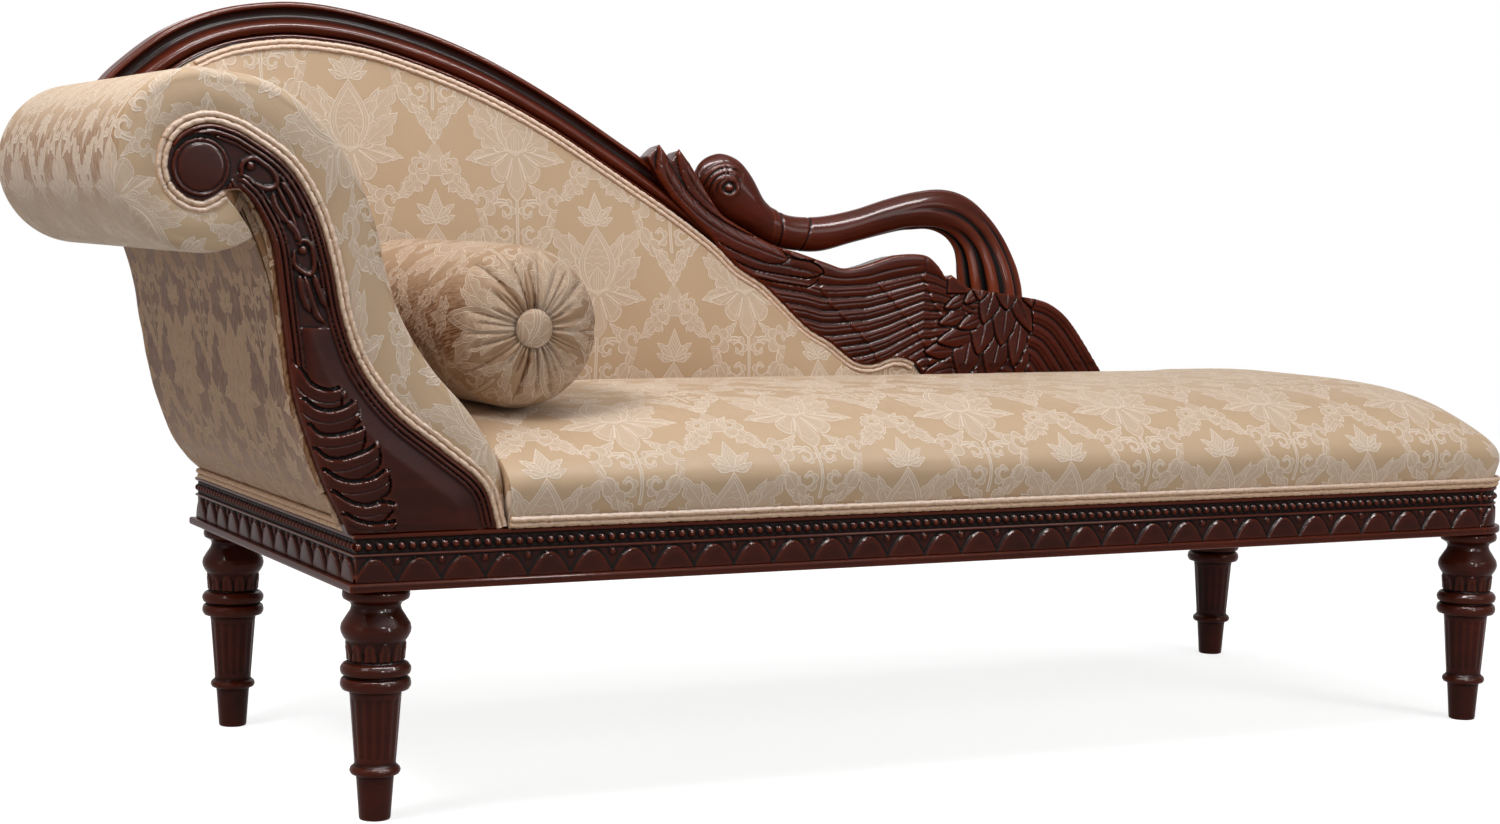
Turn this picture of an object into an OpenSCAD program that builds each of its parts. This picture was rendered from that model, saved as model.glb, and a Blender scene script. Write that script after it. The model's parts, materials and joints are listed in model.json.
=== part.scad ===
// Fainting couch: carved and upholstered day bed with one scrolled arm, a sweeping back
// that ends in a carved swan, four turned legs and a loose bolster.
// Millimetres. X runs from the arm to the foot, Y from front to back, Z up from the floor.

/* [Base rails] */
// Length over the rails
rail_length = 1550; // [1500:2:1650]
// Depth over the rails
rail_depth = 616; // [600:2:660]
// Height of a rail
rail_height = 59; // [56:1:66]
// Thickness of a rail
rail_thickness = 22; // [20:0.5:24]
// How far the bottom lip stands out
lip_out = 5; // [3:0.5:6]
// Height of the bottom lip
lip_height = 9; // [7:0.5:11]
// Depth of the carved band behind the face
carving_depth = 3.5; // [2.5:0.5:4]
// Outside radius of the two corners at the foot
corner_radius = 50; // [46:1:60]
// Length of one carved lunette
lunette_pitch = 49; // [47.5:0.5:56]
// Radius of a lunette
lunette_radius = 23.5; // [20:0.5:23.5]
// How far the lunettes stand out of their band
lunette_relief = 2.5; // [1.5:0.5:3]
// Diameter of a carved bead
bead_diameter = 8.4; // [7:0.2:9]
// Distance from bead to bead
bead_pitch = 11.8; // [10.5:0.1:14]
// Depth of the bead row under the rail top
bead_drop = 12.5; // [11.5:0.5:14]

/* [Legs] */
// Height of a leg under the rail
leg_height = 245; // [230:1:265]
// Distance from a rail's outer face to the leg's axis
leg_inset = 38; // [38:0.5:42]
// Radius of a leg at the floor
foot_radius = 16.5; // [14:0.5:19]
// Radius of the ring low on the leg
ankle_ring_radius = 26.5; // [24:0.5:30]
// Radius of the tapered shaft at its top
shaft_radius = 27.5; // [25:0.5:29]
// Radius of the double ring and of the bulge
leg_ring_radius = 37; // [34:0.5:38]
// Radius of the carved drum
drum_radius = 30; // [27:0.5:32]
// Radius of the neck under the collar
leg_neck_radius = 25.7; // [22:0.5:28]
// Radius of the tenon on top of a leg
tenon_radius = 10; // [8:0.5:10]
// Length of the tenon
tenon_length = 38; // [30:1:39]

/* [Inner frame] */
// Side of a corner block
block_side = 66; // [60:1:72]
// Height of a corner block
block_height = 40; // [40:1:42]
// Radius of a block screw
screw_radius = 2.5; // [2:0.1:3]
// Width of a cross brace
brace_width = 30; // [24:1:40]
// Height of a cross brace
brace_height = 22; // [16:1:24]
// Width of the ledgers that carry the webbing
ledger_width = 18; // [14:1:22]
// Height of a ledger
ledger_height = 20; // [14:1:21]
// Width of a webbing strap
strap_width = 50; // [40:1:60]
// Thickness of a webbing strap
strap_thickness = 1.5; // [1:0.1:1.6]
// Number of straps across
cross_straps = 9; // [6:1:12]
// Thickness of the platform cloth under the seat
deck_thickness = 1.7; // [1:0.1:1.8]
// Thickness of the dust cover under the base
dust_cover_thickness = 1.2; // [0.8:0.1:1.6]

/* [Seat] */
// Height of the stuffed seat over the rails, in the middle
seat_height = 129; // [120:1:136]
// How much lower the seat is under the bolster
seat_dip = 14; // [8:1:20]
// How far the seat's sides stand back behind the piping
seat_side_step = 5; // [4:0.5:8]
// How far the seat swells out over the piping
seat_swell = 14; // [10:1:18]
// How far it swells at the foot end
nose_swell = 8; // [4:0.5:9]
// Length of the rounding over the foot end
seat_nose = 150; // [120:5:180]
// Diameter of one piping cord
cord_diameter = 6.4; // [5:0.2:6.6]

/* [Arm] */
// Radius of the roll on the arm
roll_radius = 92; // [88:1:96]
// Height of the roll's axis over the rails
roll_rise = 378; // [370:1:384]
// How far the roll's axis stands outside the rails
roll_reach = 153; // [150:1:157]
// Thickness of the arm's padding
arm_pad = 38; // [32:1:42]
// How far the arm's padding swells in the middle
arm_swell = 14; // [6:1:20]
// Thickness of the arm formers
former_thickness = 20; // [16:1:22]
// Thickness of the carved front panel
arm_panel_thickness = 17; // [15:0.5:18]
// Thickness of the padded border round the panel
arm_border_thickness = 14; // [10:0.5:14]
// Height of the mouldings on the panel
moulding_relief = 2.5; // [1.5:0.5:3]
// Radius of the scroll's boss
boss_radius = 29; // [26:0.5:30]
// How far the boss stands out of the panel
boss_relief = 4; // [2:0.5:5]
// Height of the carved leaf on the panel
leaf_relief = 7; // [5:0.5:8]
// Thickness of the outside cover
cover_thickness = 3; // [2:0.5:3.5]

/* [Back] */
// Depth from the rails' rear face to the face of the back board
back_depth = 44; // [42:1:48]
// Thickness of the back board
back_board_thickness = 22; // [18:1:24]
// Thickness of the back padding in its middle
back_pad = 28; // [22:1:32]
// Thickness of the back padding at its edge
back_pad_edge = 6; // [4:0.5:8]
// Height of the crest's top over the rails
crest_rise = 580; // [572:1:590]
// How far the crest stands in front of the board
crest_proud = 5; // [4:0.5:7]
// How far the crest and the swan stop short of the rails' rear face
crest_setback = 2; // [1:0.5:4]

/* [Swan] */
// Distance from the arm's end of the rails to the tip of the tail
swan_end = 1296; // [1290:1:1304]
// How far the carved wing stands in front of the board
wing_proud = 10; // [9:0.5:12]
// Height of the raised feathers
feather_relief = 4; // [2:0.5:5]
// Half the thickness of the neck, front to back
neck_half_depth = 20; // [16:0.5:22]
// Half the thickness of the head, front to back
head_half_depth = 23; // [18:0.5:24]
// Number of feather rows on the wing
feather_rows = 8; // [6:1:9]
// Radius of the dowels under the swan
dowel_radius = 5; // [4:0.5:6]
// Depth of a dowel in the rail
dowel_depth = 20; // [15:1:24]

/* [Bolster] */
// Radius of the bolster
bolster_radius = 90; // [80:1:94]
// Length of the bolster, button to button
bolster_length = 474; // [420:2:480]
// Depth of the gathered end
gather_depth = 50; // [40:1:56]
// Height of one gather
gather_height = 3.5; // [2:0.5:4]
// Number of gathers on an end
gathers = 28; // [20:1:32]
// Radius of a button
button_radius = 20.5; // [16:0.5:22]
// Thickness of a button
button_thickness = 7; // [5:0.5:9]
// Distance from the rail's head face to the bolster's axis
bolster_place = 227; // [222:1:300]

/* [Hidden] */

gap = 0.3;
fit = 0.15;
wood = "saddlebrown";
inner_wood = "burlywood";
cloth = "wheat";
jute = "tan";

// The frame that the outlines share: X from the arm's end of the rails, Z from their top edge.
x_head = (roll_reach + roll_radius - rail_length - lip_out) / 2;
x_foot = x_head + rail_length;
y_front = -rail_depth / 2;
y_back = rail_depth / 2;
z_top = leg_height + rail_height;
inside_front = y_front + rail_thickness;
inside_back = y_back - rail_thickness;

// Levels under the rail top, from the deck down.
deck_top = -0.5;
deck_low = deck_top - deck_thickness;
along_low = deck_low - 0.2 - strap_thickness;
across_low = along_low - 0.2 - strap_thickness;
ledger_top = across_low - 0.2;
block_low = -rail_height + gap;
block_top = block_low + block_height;
board_foot = block_top + gap;

// Planes of the back and of the arm's front.
board_face = y_back - back_depth;
board_back = board_face + back_board_thickness;
crest_face = board_face - crest_proud;
carve_back = y_back - crest_setback;
swan_face = board_face - wing_proud;
former_face = inside_front + gap + 0.2;
former_back = former_face + former_thickness;
panel_back = former_face - gap;
panel_face = panel_back - arm_panel_thickness;
border_face = panel_back - arm_border_thickness;
pad_end = crest_face - 1;
cord = cord_diameter / 2;

// Smooth curve through hand-placed points, with n steps between two of them.
function spline(p, n) = [
  for (i = [0 : len(p) - 2])
    let (a = i > 0 ? p[i - 1] : 2 * p[0] - p[1], b = p[i], c = p[i + 1],
         d = i < len(p) - 2 ? p[i + 2] : 2 * p[i + 1] - p[i])
      for (k = [0 : n - 1])
        let (t = k / n)
          0.5 * (2 * b + (c - a) * t + (2 * a - 5 * b + 4 * c - d) * t * t
            + (3 * b - a - 3 * c + d) * t * t * t),
  p[len(p) - 1]];
function unit(v) = v / norm(v);
function left_of(v) = [-v[1], v[0]];
function side_normal(p, i) = left_of(unit(p[min(i + 1, len(p) - 1)] - p[max(i - 1, 0)]));
// A path moved to its own left by d.
function beside(p, d) = [for (i = [0 : len(p) - 1]) p[i] + side_normal(p, i) * d];
function backwards(p) = [for (i = [len(p) - 1 : -1 : 0]) p[i]];
function mix(a, b, t) = a + (b - a) * t;
function between(p, q, t) = [for (i = [0 : len(p) - 1]) mix(p[i], q[i], t)];
function ease(t) = let (s = max(0, min(1, t))) s * s * (3 - 2 * s);
function piece_of(p, from, to) = [for (i = [round(from * (len(p) - 1)) : round(to * (len(p) - 1))]) p[i]];
function arc(c, r, from, to, n) = [for (k = [0 : n]) let (a = mix(from, to, k / n)) c + r * [cos(a), sin(a)]];
function signed_power(v, e) = sign(v) * pow(abs(v), e);
function middle(ring) = [for (j = [0 : 2]) [for (v = ring) v[j]] * [for (v = ring) 1] / len(ring)];

// The outlines are drawn at these sizes and stretch with them: the arm with its roll, the back with its
// crest and its tail.
function on_arm(p) = [for (q = p) [q[0] * roll_reach / 153, q[1] * roll_rise / 378]];
function on_back(p) = [for (q = p) [q[0] * swan_end / 1296, q[1] * crest_rise / 580]];

// Arm outlines. The inside line runs from the seat up the arm and on to the top of the roll.
roll_axis = [-roll_reach, roll_rise];
arm_inside = spline(concat(on_arm([[171, gap], [171, 27], [163, 70], [131, 122], [89, 169], [57, 219],
  [39, 269], [28, 315], [6, 370], [-30, 420]]),
  [roll_axis + [68, roll_radius - 12], roll_axis + [0, roll_radius]]), 3);
arm_outside = spline(on_arm([[10, 0.5], [5, 12], [-12, 28], [-30, 54], [-44, 88], [-55, 122], [-64, 165],
  [-71, 205], [-77, 240], [-85, 270], [-96, 300], [-110, 332]]), 2);
boss_axis = on_arm([[-157, 370]])[0];
panel_edge = spline(on_arm([[-135, 349], [-157, 338], [-180, 349], [-189, 371], [-183, 396], [-168, 409],
  [-148, 414], [-128, 410], [-108, 401], [-68, 373], [-40, 329], [-23, 276], [-12, 223], [8, 171],
  [45, 124], [98, 83], [142, 46], [158, gap]]), 2);
panel_inner = spline(on_arm([[-3, gap], [-15, 26], [-27, 49], [-45, 96], [-60, 143], [-68, 196], [-75, 249],
  [-83, 299], [-102, 336], [-117, 351]]), 2);
leaf_outline = on_arm([[-56, 166], [-30, 160], [-12, 148], [-8, 128], [4, 120], [6, 104], [20, 92], [30, 74],
  [38, 58], [34, 40], [48, 24], [52, gap], [-1, gap], [-22, 45], [-38, 88], [-50, 122]]);

// Back outlines, from behind the roll to the foot of the wing.
crest_outer = spline(on_back([[-178, 405], [-158, 437], [-130, 465], [-102, 496], [-45, 540], [18, 567],
  [86, 579], [142, 579], [208, 569], [275, 553], [342, 530], [408, 500], [475, 464], [542, 424], [582, 399],
  [625, 366], [662, 330], [690, 296]]), 2);
crest_inner = spline(on_back([[-136, 388], [-119, 415], [-98, 434], [-72, 462], [-22, 500], [29, 523],
  [90, 534], [138, 534], [200, 527], [262, 511], [325, 490], [390, 463], [455, 430], [521, 391], [561, 367],
  [603, 342], [645, 315], [684, 288]]), 2);
wing_foot = spline(on_back([[684, 288], [714, 261], [750, 240], [782, 213], [819, 181], [855, 161],
  [891, 136], [920, 131], [955, 140], [985, 133], [1005, 110]]), 2);
wing_end = 1010 * swan_end / 1296;
// Each crest section, outer edge to inner edge: share of the width, then depth behind the front.
crest_section = [[0, 12], [0.06, 8], [0.14, 7], [0.22, 11], [0.38, 14], [0.5, 9], [0.58, 3], [0.68, 0],
  [0.78, 2], [0.86, 8], [0.92, 5], [0.98, 7], [1, 12]];

// Swan outlines.
wing_top = spline(on_back([[1041, 253], [1032, 250], [1018, 267], [996, 280], [950, 279], [905, 266],
  [873, 261], [846, 268], [800, 282], [762, 292], [705, 320], [682, 336], [655, 374], [640, 396]]), 2);
tail_top = spline(on_back([[1296, 111], [1278, 136], [1258, 163], [1241, 184], [1223, 201], [1200, 214],
  [1178, 220]]), 2);
neck_outer = spline(on_back([[1172, 221], [1169, 240], [1160, 268], [1139, 306], [1110, 339], [1078, 361],
  [1040, 370], [996, 366], [950, 355], [900, 340], [846, 330], [800, 331], [770, 343]]), 2);
neck_inner = spline(on_back([[1070, 235], [1067, 254], [1065, 272], [1060, 288], [1048, 302], [1032, 311],
  [1014, 315], [991, 314], [964, 311], [900, 296], [846, 283], [800, 285], [770, 292]]), 2);
head_outer = spline(on_back([[769.7, 343], [757, 356], [740, 384], [722, 403], [700, 411], [682, 408],
  [668, 399], [661, 387]]), 2);
head_inner = spline(on_back([[769.7, 292], [755, 299], [738, 308], [720, 317], [700, 327], [683, 341],
  [669, 360], [662, 372]]), 2);

module at_arm() translate([x_head, 0, z_top]) children();
// A front-plane outline made solid between two depths.
module slab(from, to) at_arm() translate([0, to, 0]) rotate([90, 0, 0]) linear_extrude(to - from) children();
function deep(p, y) = [p[0] + x_head, y, p[1] + z_top];

function walls(m, n) = [for (i = [0 : m - 2]) for (k = [0 : n - 1])
  let (a = i * n + k, b = i * n + (k + 1) % n) each [[a, b + n, b], [a, a + n, b + n]]];
// Closed skin over rings of points, its ends closed by fans.
module loft(rings) {
  m = len(rings);
  n = len(rings[0]);
  polyhedron(
    points = concat([for (r = rings) each r], [middle(rings[0]), middle(rings[m - 1])]),
    faces = concat(walls(m, n),
      [for (k = [0 : n - 1]) [k, (k + 1) % n, m * n]],
      [for (k = [0 : n - 1]) [(m - 1) * n + (k + 1) % n, (m - 1) * n + k, m * n + 1]]));
}
// The same for a curved band: each ring is the band's outer line and then its inner line, backwards.
module band_loft(rings) {
  m = len(rings);
  n = len(rings[0]);
  last = (m - 1) * n;
  polyhedron(
    points = [for (r = rings) each r],
    faces = concat(walls(m, n),
      [for (k = [0 : n / 2 - 2]) let (q = n - 1 - k) each [[k, k + 1, q], [k + 1, q - 1, q]]],
      [for (k = [last : last + n / 2 - 2])
        let (q = last + n - 1 - (k - last)) each [[k + 1, k, q], [q - 1, k + 1, q]]]));
}
// A tube of eight sides along a front-plane path: a is its half width, b its half depth.
module front_tube(path, y, a, b)
  loft([for (i = [0 : len(path) - 1]) [for (k = [0 : 7])
    deep(path[i] + side_normal(path, i) * a * cos(45 * k), y - b * sin(45 * k))]]);

// Carved base. A run is drawn along X with its carved face towards +Y.
rail_outline = [[-rail_thickness, -rail_height], [lip_out - 2, -rail_height], [lip_out, 2 - rail_height],
  [lip_out, lip_height - 2 - rail_height], [lip_out - 2, lip_height - rail_height],
  [-carving_depth, lip_height - rail_height], [-carving_depth, -bead_drop - bead_diameter / 2 - 5],
  [-1, -bead_drop - bead_diameter / 2 - 4], [-1, -bead_drop - bead_diameter / 2 - 2],
  [-carving_depth, -bead_drop - bead_diameter / 2 - 1], [-carving_depth, -4], [-1, -2], [-1, 0],
  [-rail_thickness, 0]];
module lunette(r) {
  low = lip_height - rail_height - 0.5;
  translate([0, lunette_relief - carving_depth, 0]) rotate([90, 0, 0]) linear_extrude(lunette_relief + 1)
    intersection() {
      translate([0, low + 3]) circle(r, $fn = 48);
      translate([-r, low]) square([2 * r, r + 3]);
    }
}
module bead() translate([0, -carving_depth, -bead_drop]) sphere(bead_diameter / 2, $fn = 24);
module mitre() rotate([0, 0, 45]) translate([-200 + gap / 2, -150, -2 * rail_height])
  cube([200, 300, 3 * rail_height]);
module run(length, mitre_from, mitre_to) {
  lunettes = round(length / lunette_pitch);
  beads = round(length / bead_pitch);
  start = mitre_from ? -lip_out : 0;
  end = length + (mitre_to ? lip_out : 0);
  difference() {
    union() {
      translate([start, 0, 0]) rotate([90, 0, 90]) linear_extrude(end - start) polygon(rail_outline);
      for (i = [0 : lunettes - 1]) translate([(i + 0.5) * length / lunettes, 0, 0]) lunette(lunette_radius);
      for (i = [0 : beads - 1]) translate([(i + 0.5) * length / beads, 0, 0]) bead();
    }
    if (mitre_from) mitre();
    if (mitre_to) translate([length, 0, 0]) mirror([1, 0, 0]) mitre();
  }
}
run_length = rail_length - corner_radius - gap;
screw_level = block_low + block_height / 2;
screw_x = [x_head + rail_thickness + gap + block_side - 14, x_foot - rail_thickness - gap - block_side + 14];
module screw_shanks(r, from, to) for (x = screw_x, s = [0, 1]) mirror([0, s, 0])
  translate([x, from, z_top + screw_level]) rotate([-90, 0, 0]) cylinder(r = r, h = to - from, $fn = 24);
dowel_places = [wing_end + 30, (wing_end + swan_end) / 2, swan_end - 56];
dowel_y = (inside_back + carve_back - 2) / 2;
module dowels(r, low, high) for (u = dowel_places) at_arm() translate([u, dowel_y, low])
  cylinder(r = r, h = high - low, $fn = 32);

module front_rail() color(wood) difference() {
  translate([x_head, y_front, z_top]) mirror([0, 1, 0]) run(run_length, true, false);
  screw_shanks(screw_radius + fit, inside_back - 1, inside_back + 11);
}
module back_rail() color(wood) difference() {
  translate([x_head, y_back, z_top]) run(run_length, true, false);
  screw_shanks(screw_radius + fit, inside_back - 1, inside_back + 11);
  dowels(dowel_radius + fit, -dowel_depth - 1, 1);
}
module head_rail() color(wood) translate([x_head, y_front, z_top]) rotate([0, 0, 90])
  run(rail_depth, true, true);
module foot_rail() color(wood) translate([x_foot, y_back - corner_radius - gap, z_top]) rotate([0, 0, -90])
  run(rail_depth - 2 * corner_radius - 2 * gap, false, false);
module foot_corner() {
  beads = round(corner_radius * PI / 2 / bead_pitch);
  rotate_extrude(angle = 90, $fn = 96) translate([corner_radius, 0]) polygon(rail_outline);
  for (i = [0 : beads - 1]) rotate([0, 0, (i + 0.5 - beads) * 90 / beads])
    translate([0, corner_radius - carving_depth + 0.5, -bead_drop]) rotate([90, 0, 0])
      sphere(bead_diameter / 2, $fn = 24);
  for (i = [0, 1]) rotate([0, 0, -22.5 - 45 * i]) translate([0, corner_radius - 2, 0])
    lunette(lunette_radius * 0.75);
}
module foot_corner_front() color(wood)
  translate([x_foot - corner_radius, y_front + corner_radius, z_top]) rotate([0, 0, -90]) foot_corner();
module foot_corner_back() color(wood)
  translate([x_foot - corner_radius, y_back - corner_radius, z_top]) foot_corner();

// Turned legs.
leg_x = [x_head + leg_inset, x_foot - leg_inset];
leg_y = y_back - leg_inset;
shaft_foot = 61;
module leg(x, y) color(wood) translate([x, y, 0]) {
  top = leg_height;
  rotate_extrude($fn = 64) {
    polygon([[0, 0], [foot_radius - 1.5, 0], [foot_radius, 1.5], [foot_radius + 3.5, 46],
      [foot_radius + 3.5, 58], [foot_radius + 5, shaft_foot], [shaft_radius, top - 108],
      [shaft_radius, top - 79], [drum_radius - 1, top - 78],
      [drum_radius + 1, top - 54], [leg_ring_radius - 5, top - 50], [leg_ring_radius, top - 42],
      [leg_ring_radius - 2, top - 36], [leg_neck_radius + 3, top - 27], [leg_neck_radius, top - 20],
      [leg_neck_radius + 3, top - 15], [leg_ring_radius - 3, top - 11], [leg_ring_radius - 1.5, top - 7],
      [leg_ring_radius - 3, top - 2], [leg_ring_radius - 5, top], [0, top]]);
    for (z = [top - 100, top - 85]) {
      translate([leg_ring_radius - 6.5, z]) circle(6.5, $fn = 32);
      translate([5, z - 6.5]) square([leg_ring_radius - 11.5, 13]);
    }
    translate([ankle_ring_radius - 5, shaft_foot - 8.5]) circle(5, $fn = 32);
    translate([5, shaft_foot - 13.5]) square([ankle_ring_radius - 10, 10]);
  }
  cylinder(r = tenon_radius, h = top + tenon_length, $fn = 48);
}
module leg_front_head() leg(leg_x[0], -leg_y);
module leg_front_foot() leg(leg_x[1], -leg_y);
module leg_back_head() leg(leg_x[0], leg_y);
module leg_back_foot() leg(leg_x[1], leg_y);

// Inner frame.
module block_shape(r) {
  square([block_side - r, block_side]);
  square([block_side, block_side - r]);
  translate([block_side - r, block_side - r]) circle(r, $fn = 48);
}
module corner_blocks() color(inner_wood) difference() {
  for (i = [0, 1], s = [0, 1]) mirror([0, s, 0]) {
    x = i == 0 ? x_head + rail_thickness + gap : x_foot - rail_thickness - gap - block_side;
    translate([x, inside_back - gap - block_side, z_top + block_low]) linear_extrude(block_height)
      if (i == 0) square(block_side); else block_shape(corner_radius - rail_thickness - gap);
  }
  for (x = leg_x, y = [-leg_y, leg_y]) translate([x, y, 0])
    cylinder(r = tenon_radius + fit, h = z_top + 1, $fn = 48);
  screw_shanks(screw_radius + fit, inside_back - block_side - 1, inside_back);
}
module block_screws() color("silver") {
  screw_shanks(screw_radius, inside_back - block_side - gap - 1, inside_back + 10);
  screw_shanks(2 * screw_radius, inside_back - block_side - gap - 3, inside_back - block_side - gap - 0.1);
}
brace_places = [515, 1025];
module cross_braces() color(inner_wood) for (u = brace_places) at_arm()
  translate([u - brace_width / 2, inside_front + gap, -rail_height + 8])
    cube([brace_width, inside_back - inside_front - 2 * gap, brace_height]);
ledger_from = arm_inside[0][0] - arm_pad + 4;
ledger_to = rail_length - rail_thickness - block_side - 8;
module ledger(y) color(inner_wood) at_arm() translate([ledger_from, y, ledger_top - ledger_height])
  cube([ledger_to - ledger_from, ledger_width, ledger_height]);
module front_ledger() ledger(inside_front + gap);
module back_ledger() ledger(board_face - gap - ledger_width);
module back_cleat() color(inner_wood) at_arm() translate([wing_end, board_face, board_foot])
  cube([ledger_to - wing_end, inside_back - gap - board_face, -1 - board_foot]);
web_front = inside_front + gap + 0.2;
web_back = board_face - gap - 0.2;
module webbing_across() color(jute) for (i = [0 : cross_straps - 1]) at_arm()
  translate([mix(ledger_from + 4, ledger_to - strap_width - 4, i / (cross_straps - 1)), web_front,
    across_low])
    cube([strap_width, web_back - web_front, strap_thickness]);
module webbing_along() color(jute) for (t = [0.2, 0.5, 0.8]) at_arm()
  translate([ledger_from + 4, mix(web_front, web_back, t) - strap_width / 2, along_low])
    cube([ledger_to - ledger_from - 8, strap_width, strap_thickness]);
deck_corner = corner_radius - rail_thickness;
module seat_deck() color(jute) translate([0, 0, z_top + deck_low])
  linear_extrude(deck_thickness) polygon(concat(
  [[x_head + ledger_from, web_back], [x_head + ledger_from, web_front]],
  arc([x_foot - corner_radius, web_front + deck_corner], deck_corner - gap, -90, 0, 8),
  [[x_foot - rail_thickness - gap - 1, web_back]]));
module dust_cover() color("gainsboro") translate([0, 0, leg_height - gap - dust_cover_thickness])
  linear_extrude(dust_cover_thickness) difference() {
    translate([x_head + 12, y_front + 12]) square([rail_length - 24, rail_depth - 24]);
    for (x = [x_head, x_foot], y = [y_front, y_back]) translate([x, y])
      square(2 * (leg_inset + leg_ring_radius + 2), center = true);
  }

// Seat: sections from the arm to the foot, each from the back edge over the top to the front edge.
seat_back_pad = board_face - gap - back_pad - gap;
seat_back_swan = swan_face - feather_relief - gap;
seat_side = rail_depth / 2 - seat_side_step;
seat_from = arm_inside[0][0] + 0.7;
seat_to = rail_length - seat_side_step;
seat_corner = corner_radius - seat_side_step;
function swell(w) = pow(sin(180 * max(0, min(1, (w - 4) / (0.75 * seat_height - 4)))), 2);
function seat_top(u) = seat_height - gap - seat_dip * (1 - ease((u - seat_from) / 300));
function nose(u) = let (t = max(0, (u - seat_to + seat_nose) / seat_nose)) pow(1 - pow(t, 2.6), 1 / 2.6);
function corner_cut(u) = let (d = max(0, u - seat_to + seat_corner))
  seat_corner - sqrt(seat_corner * seat_corner - d * d);
function seat_behind(u) = let (a = mix(seat_back_pad, seat_back_swan, ease((u - wing_end) / 30)))
  mix(a, seat_side, ease((u - swan_end - 4) / 40));
function seat_ring(u, edge) = [for (k = [0 : 22])
  let (a = 90 - 90 * cos(180 * k / 22), c = cos(a),
       w = gap + seat_top(u) * nose(u) * edge * pow(sin(a), 0.57),
       share = signed_power(c, 0.57), rise = swell(w), free = ease((u - swan_end - 4) / 40),
       y = c > 0 ? share * (seat_behind(u) - corner_cut(u) + seat_swell * rise * free)
         : share * (seat_side - corner_cut(u) + seat_swell * rise),
       lean = u < seat_from + 1 ? 0.12 * max(0, w - 27) : 0,
       out = nose_swell * rise * ease((u - seat_to + 60) / 60))
    [x_head + u - lean + out, y, z_top + w]];
module seat_cushion() color(cloth) loft(concat(
  [seat_ring(seat_from, 0.93), seat_ring(seat_from + 10, 0.975)],
  [for (u = [seat_from + 35 : 90 : wing_end - 5]) seat_ring(u, 1)],
  [for (u = [wing_end, wing_end + 15, wing_end + 30, (wing_end + swan_end) / 2, swan_end + 4, swan_end + 18,
    swan_end + 30, swan_end + 44]) seat_ring(u, 1)],
  [for (a = [4, 18, 32, 44, 55, 64, 72, 79, 85]) seat_ring(seat_to - seat_nose + seat_nose * sin(a), 1)]));

// Double piping in the step between a soft side and the wood it stands on.
module piping_shape() {
  translate([gap + cord - seat_side_step, gap + cord]) circle(cord, $fn = 24);
  translate([gap + cord - seat_side_step + 1.6, gap + cord + 1.9 * cord]) circle(cord, $fn = 24);
}
module piping_run(length) rotate([90, 0, 90]) linear_extrude(length) piping_shape();
module piping_corner() rotate_extrude(angle = 90, $fn = 96) translate([corner_radius, 0]) piping_shape();
module seat_piping() color(cloth) {
  straight = rail_length - corner_radius;
  across = rail_depth - 2 * corner_radius;
  translate([x_head + seat_from, y_front, z_top]) mirror([0, 1, 0]) piping_run(straight - seat_from);
  translate([x_head + straight, y_front + corner_radius, z_top]) rotate([0, 0, -90]) piping_corner();
  translate([x_foot, y_back - corner_radius, z_top]) rotate([0, 0, -90]) piping_run(across);
  translate([x_head + straight, y_back - corner_radius, z_top]) piping_corner();
  translate([x_head + swan_end + 46, y_back, z_top]) piping_run(straight - swan_end - 46);
}

// Arm.
module former_shape() {
  polygon(concat(beside(arm_inside, arm_pad + gap), [roll_axis], backwards(beside(arm_outside, -gap)),
    [[rail_thickness + gap, gap], [rail_thickness + gap, board_foot],
      [arm_inside[0][0] - arm_pad - gap, board_foot]]));
  translate(roll_axis) circle(roll_radius - arm_pad - gap, $fn = 64);
}
module arm_former_front() color(inner_wood) slab(former_face, former_back) former_shape();
module arm_former_back() color(inner_wood) slab(pad_end - former_thickness, pad_end) former_shape();
stretcher_places = on_arm([[60, 34], [-8, 178], [-50, 296]]);
module arm_stretchers() color(inner_wood) for (p = stretcher_places)
  slab(former_back + 0.1, pad_end - former_thickness - 0.1) translate(p - [12, 20]) square([24, 40]);
module roll_core() color(inner_wood) slab(former_back + 0.1, pad_end - former_thickness - 0.1)
  translate(roll_axis) circle(roll_radius - arm_pad - gap, $fn = 64);

// Depths along the arm from back to front, each with the share of swell and the rounding there.
arm_rings = [[pad_end, 0, 3], [pad_end - 28, 0.1, 0], [180, 0.45, 0], [90, 0.9, 0], [0, 1, 0], [-90, 0.9, 0],
  [-180, 0.5, 0], [former_face + 30, 0.15, 0], [former_face + 10, 0, 1.5], [former_face, 0, 5]];
module arm_pad_inside() color(cloth) {
  core = beside(arm_inside, arm_pad);
  band_loft([for (r = arm_rings) concat(
    [for (i = [0 : len(arm_inside) - 1])
      let (p = arm_inside[i],
           out = arm_swell * r[1] * ease((p[1] - 130) / 110) * ease((roll_rise + 60 - p[1]) / 90))
        deep(p + side_normal(arm_inside, i) * (r[2] * min(1, p[1] / 80) - out), r[0])],
    [for (p = backwards(core)) deep(p, r[0])])]);
}
roll_from = 90.4;
roll_to = 304;
module arm_pad_roll() color(cloth) band_loft([
  for (r = [[pad_end, 12], [pad_end - 6, 5], [pad_end - 20, 1], [0, 0], [former_face + 26, 0],
      [former_face + 10, 1.5], [former_face, 5]])
    concat([for (p = arc(roll_axis, roll_radius - r[1], roll_from, roll_to, 22)) deep(p, r[0])],
      [for (p = arc(roll_axis, roll_radius - arm_pad, roll_to, roll_from, 22)) deep(p, r[0])])]);
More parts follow.
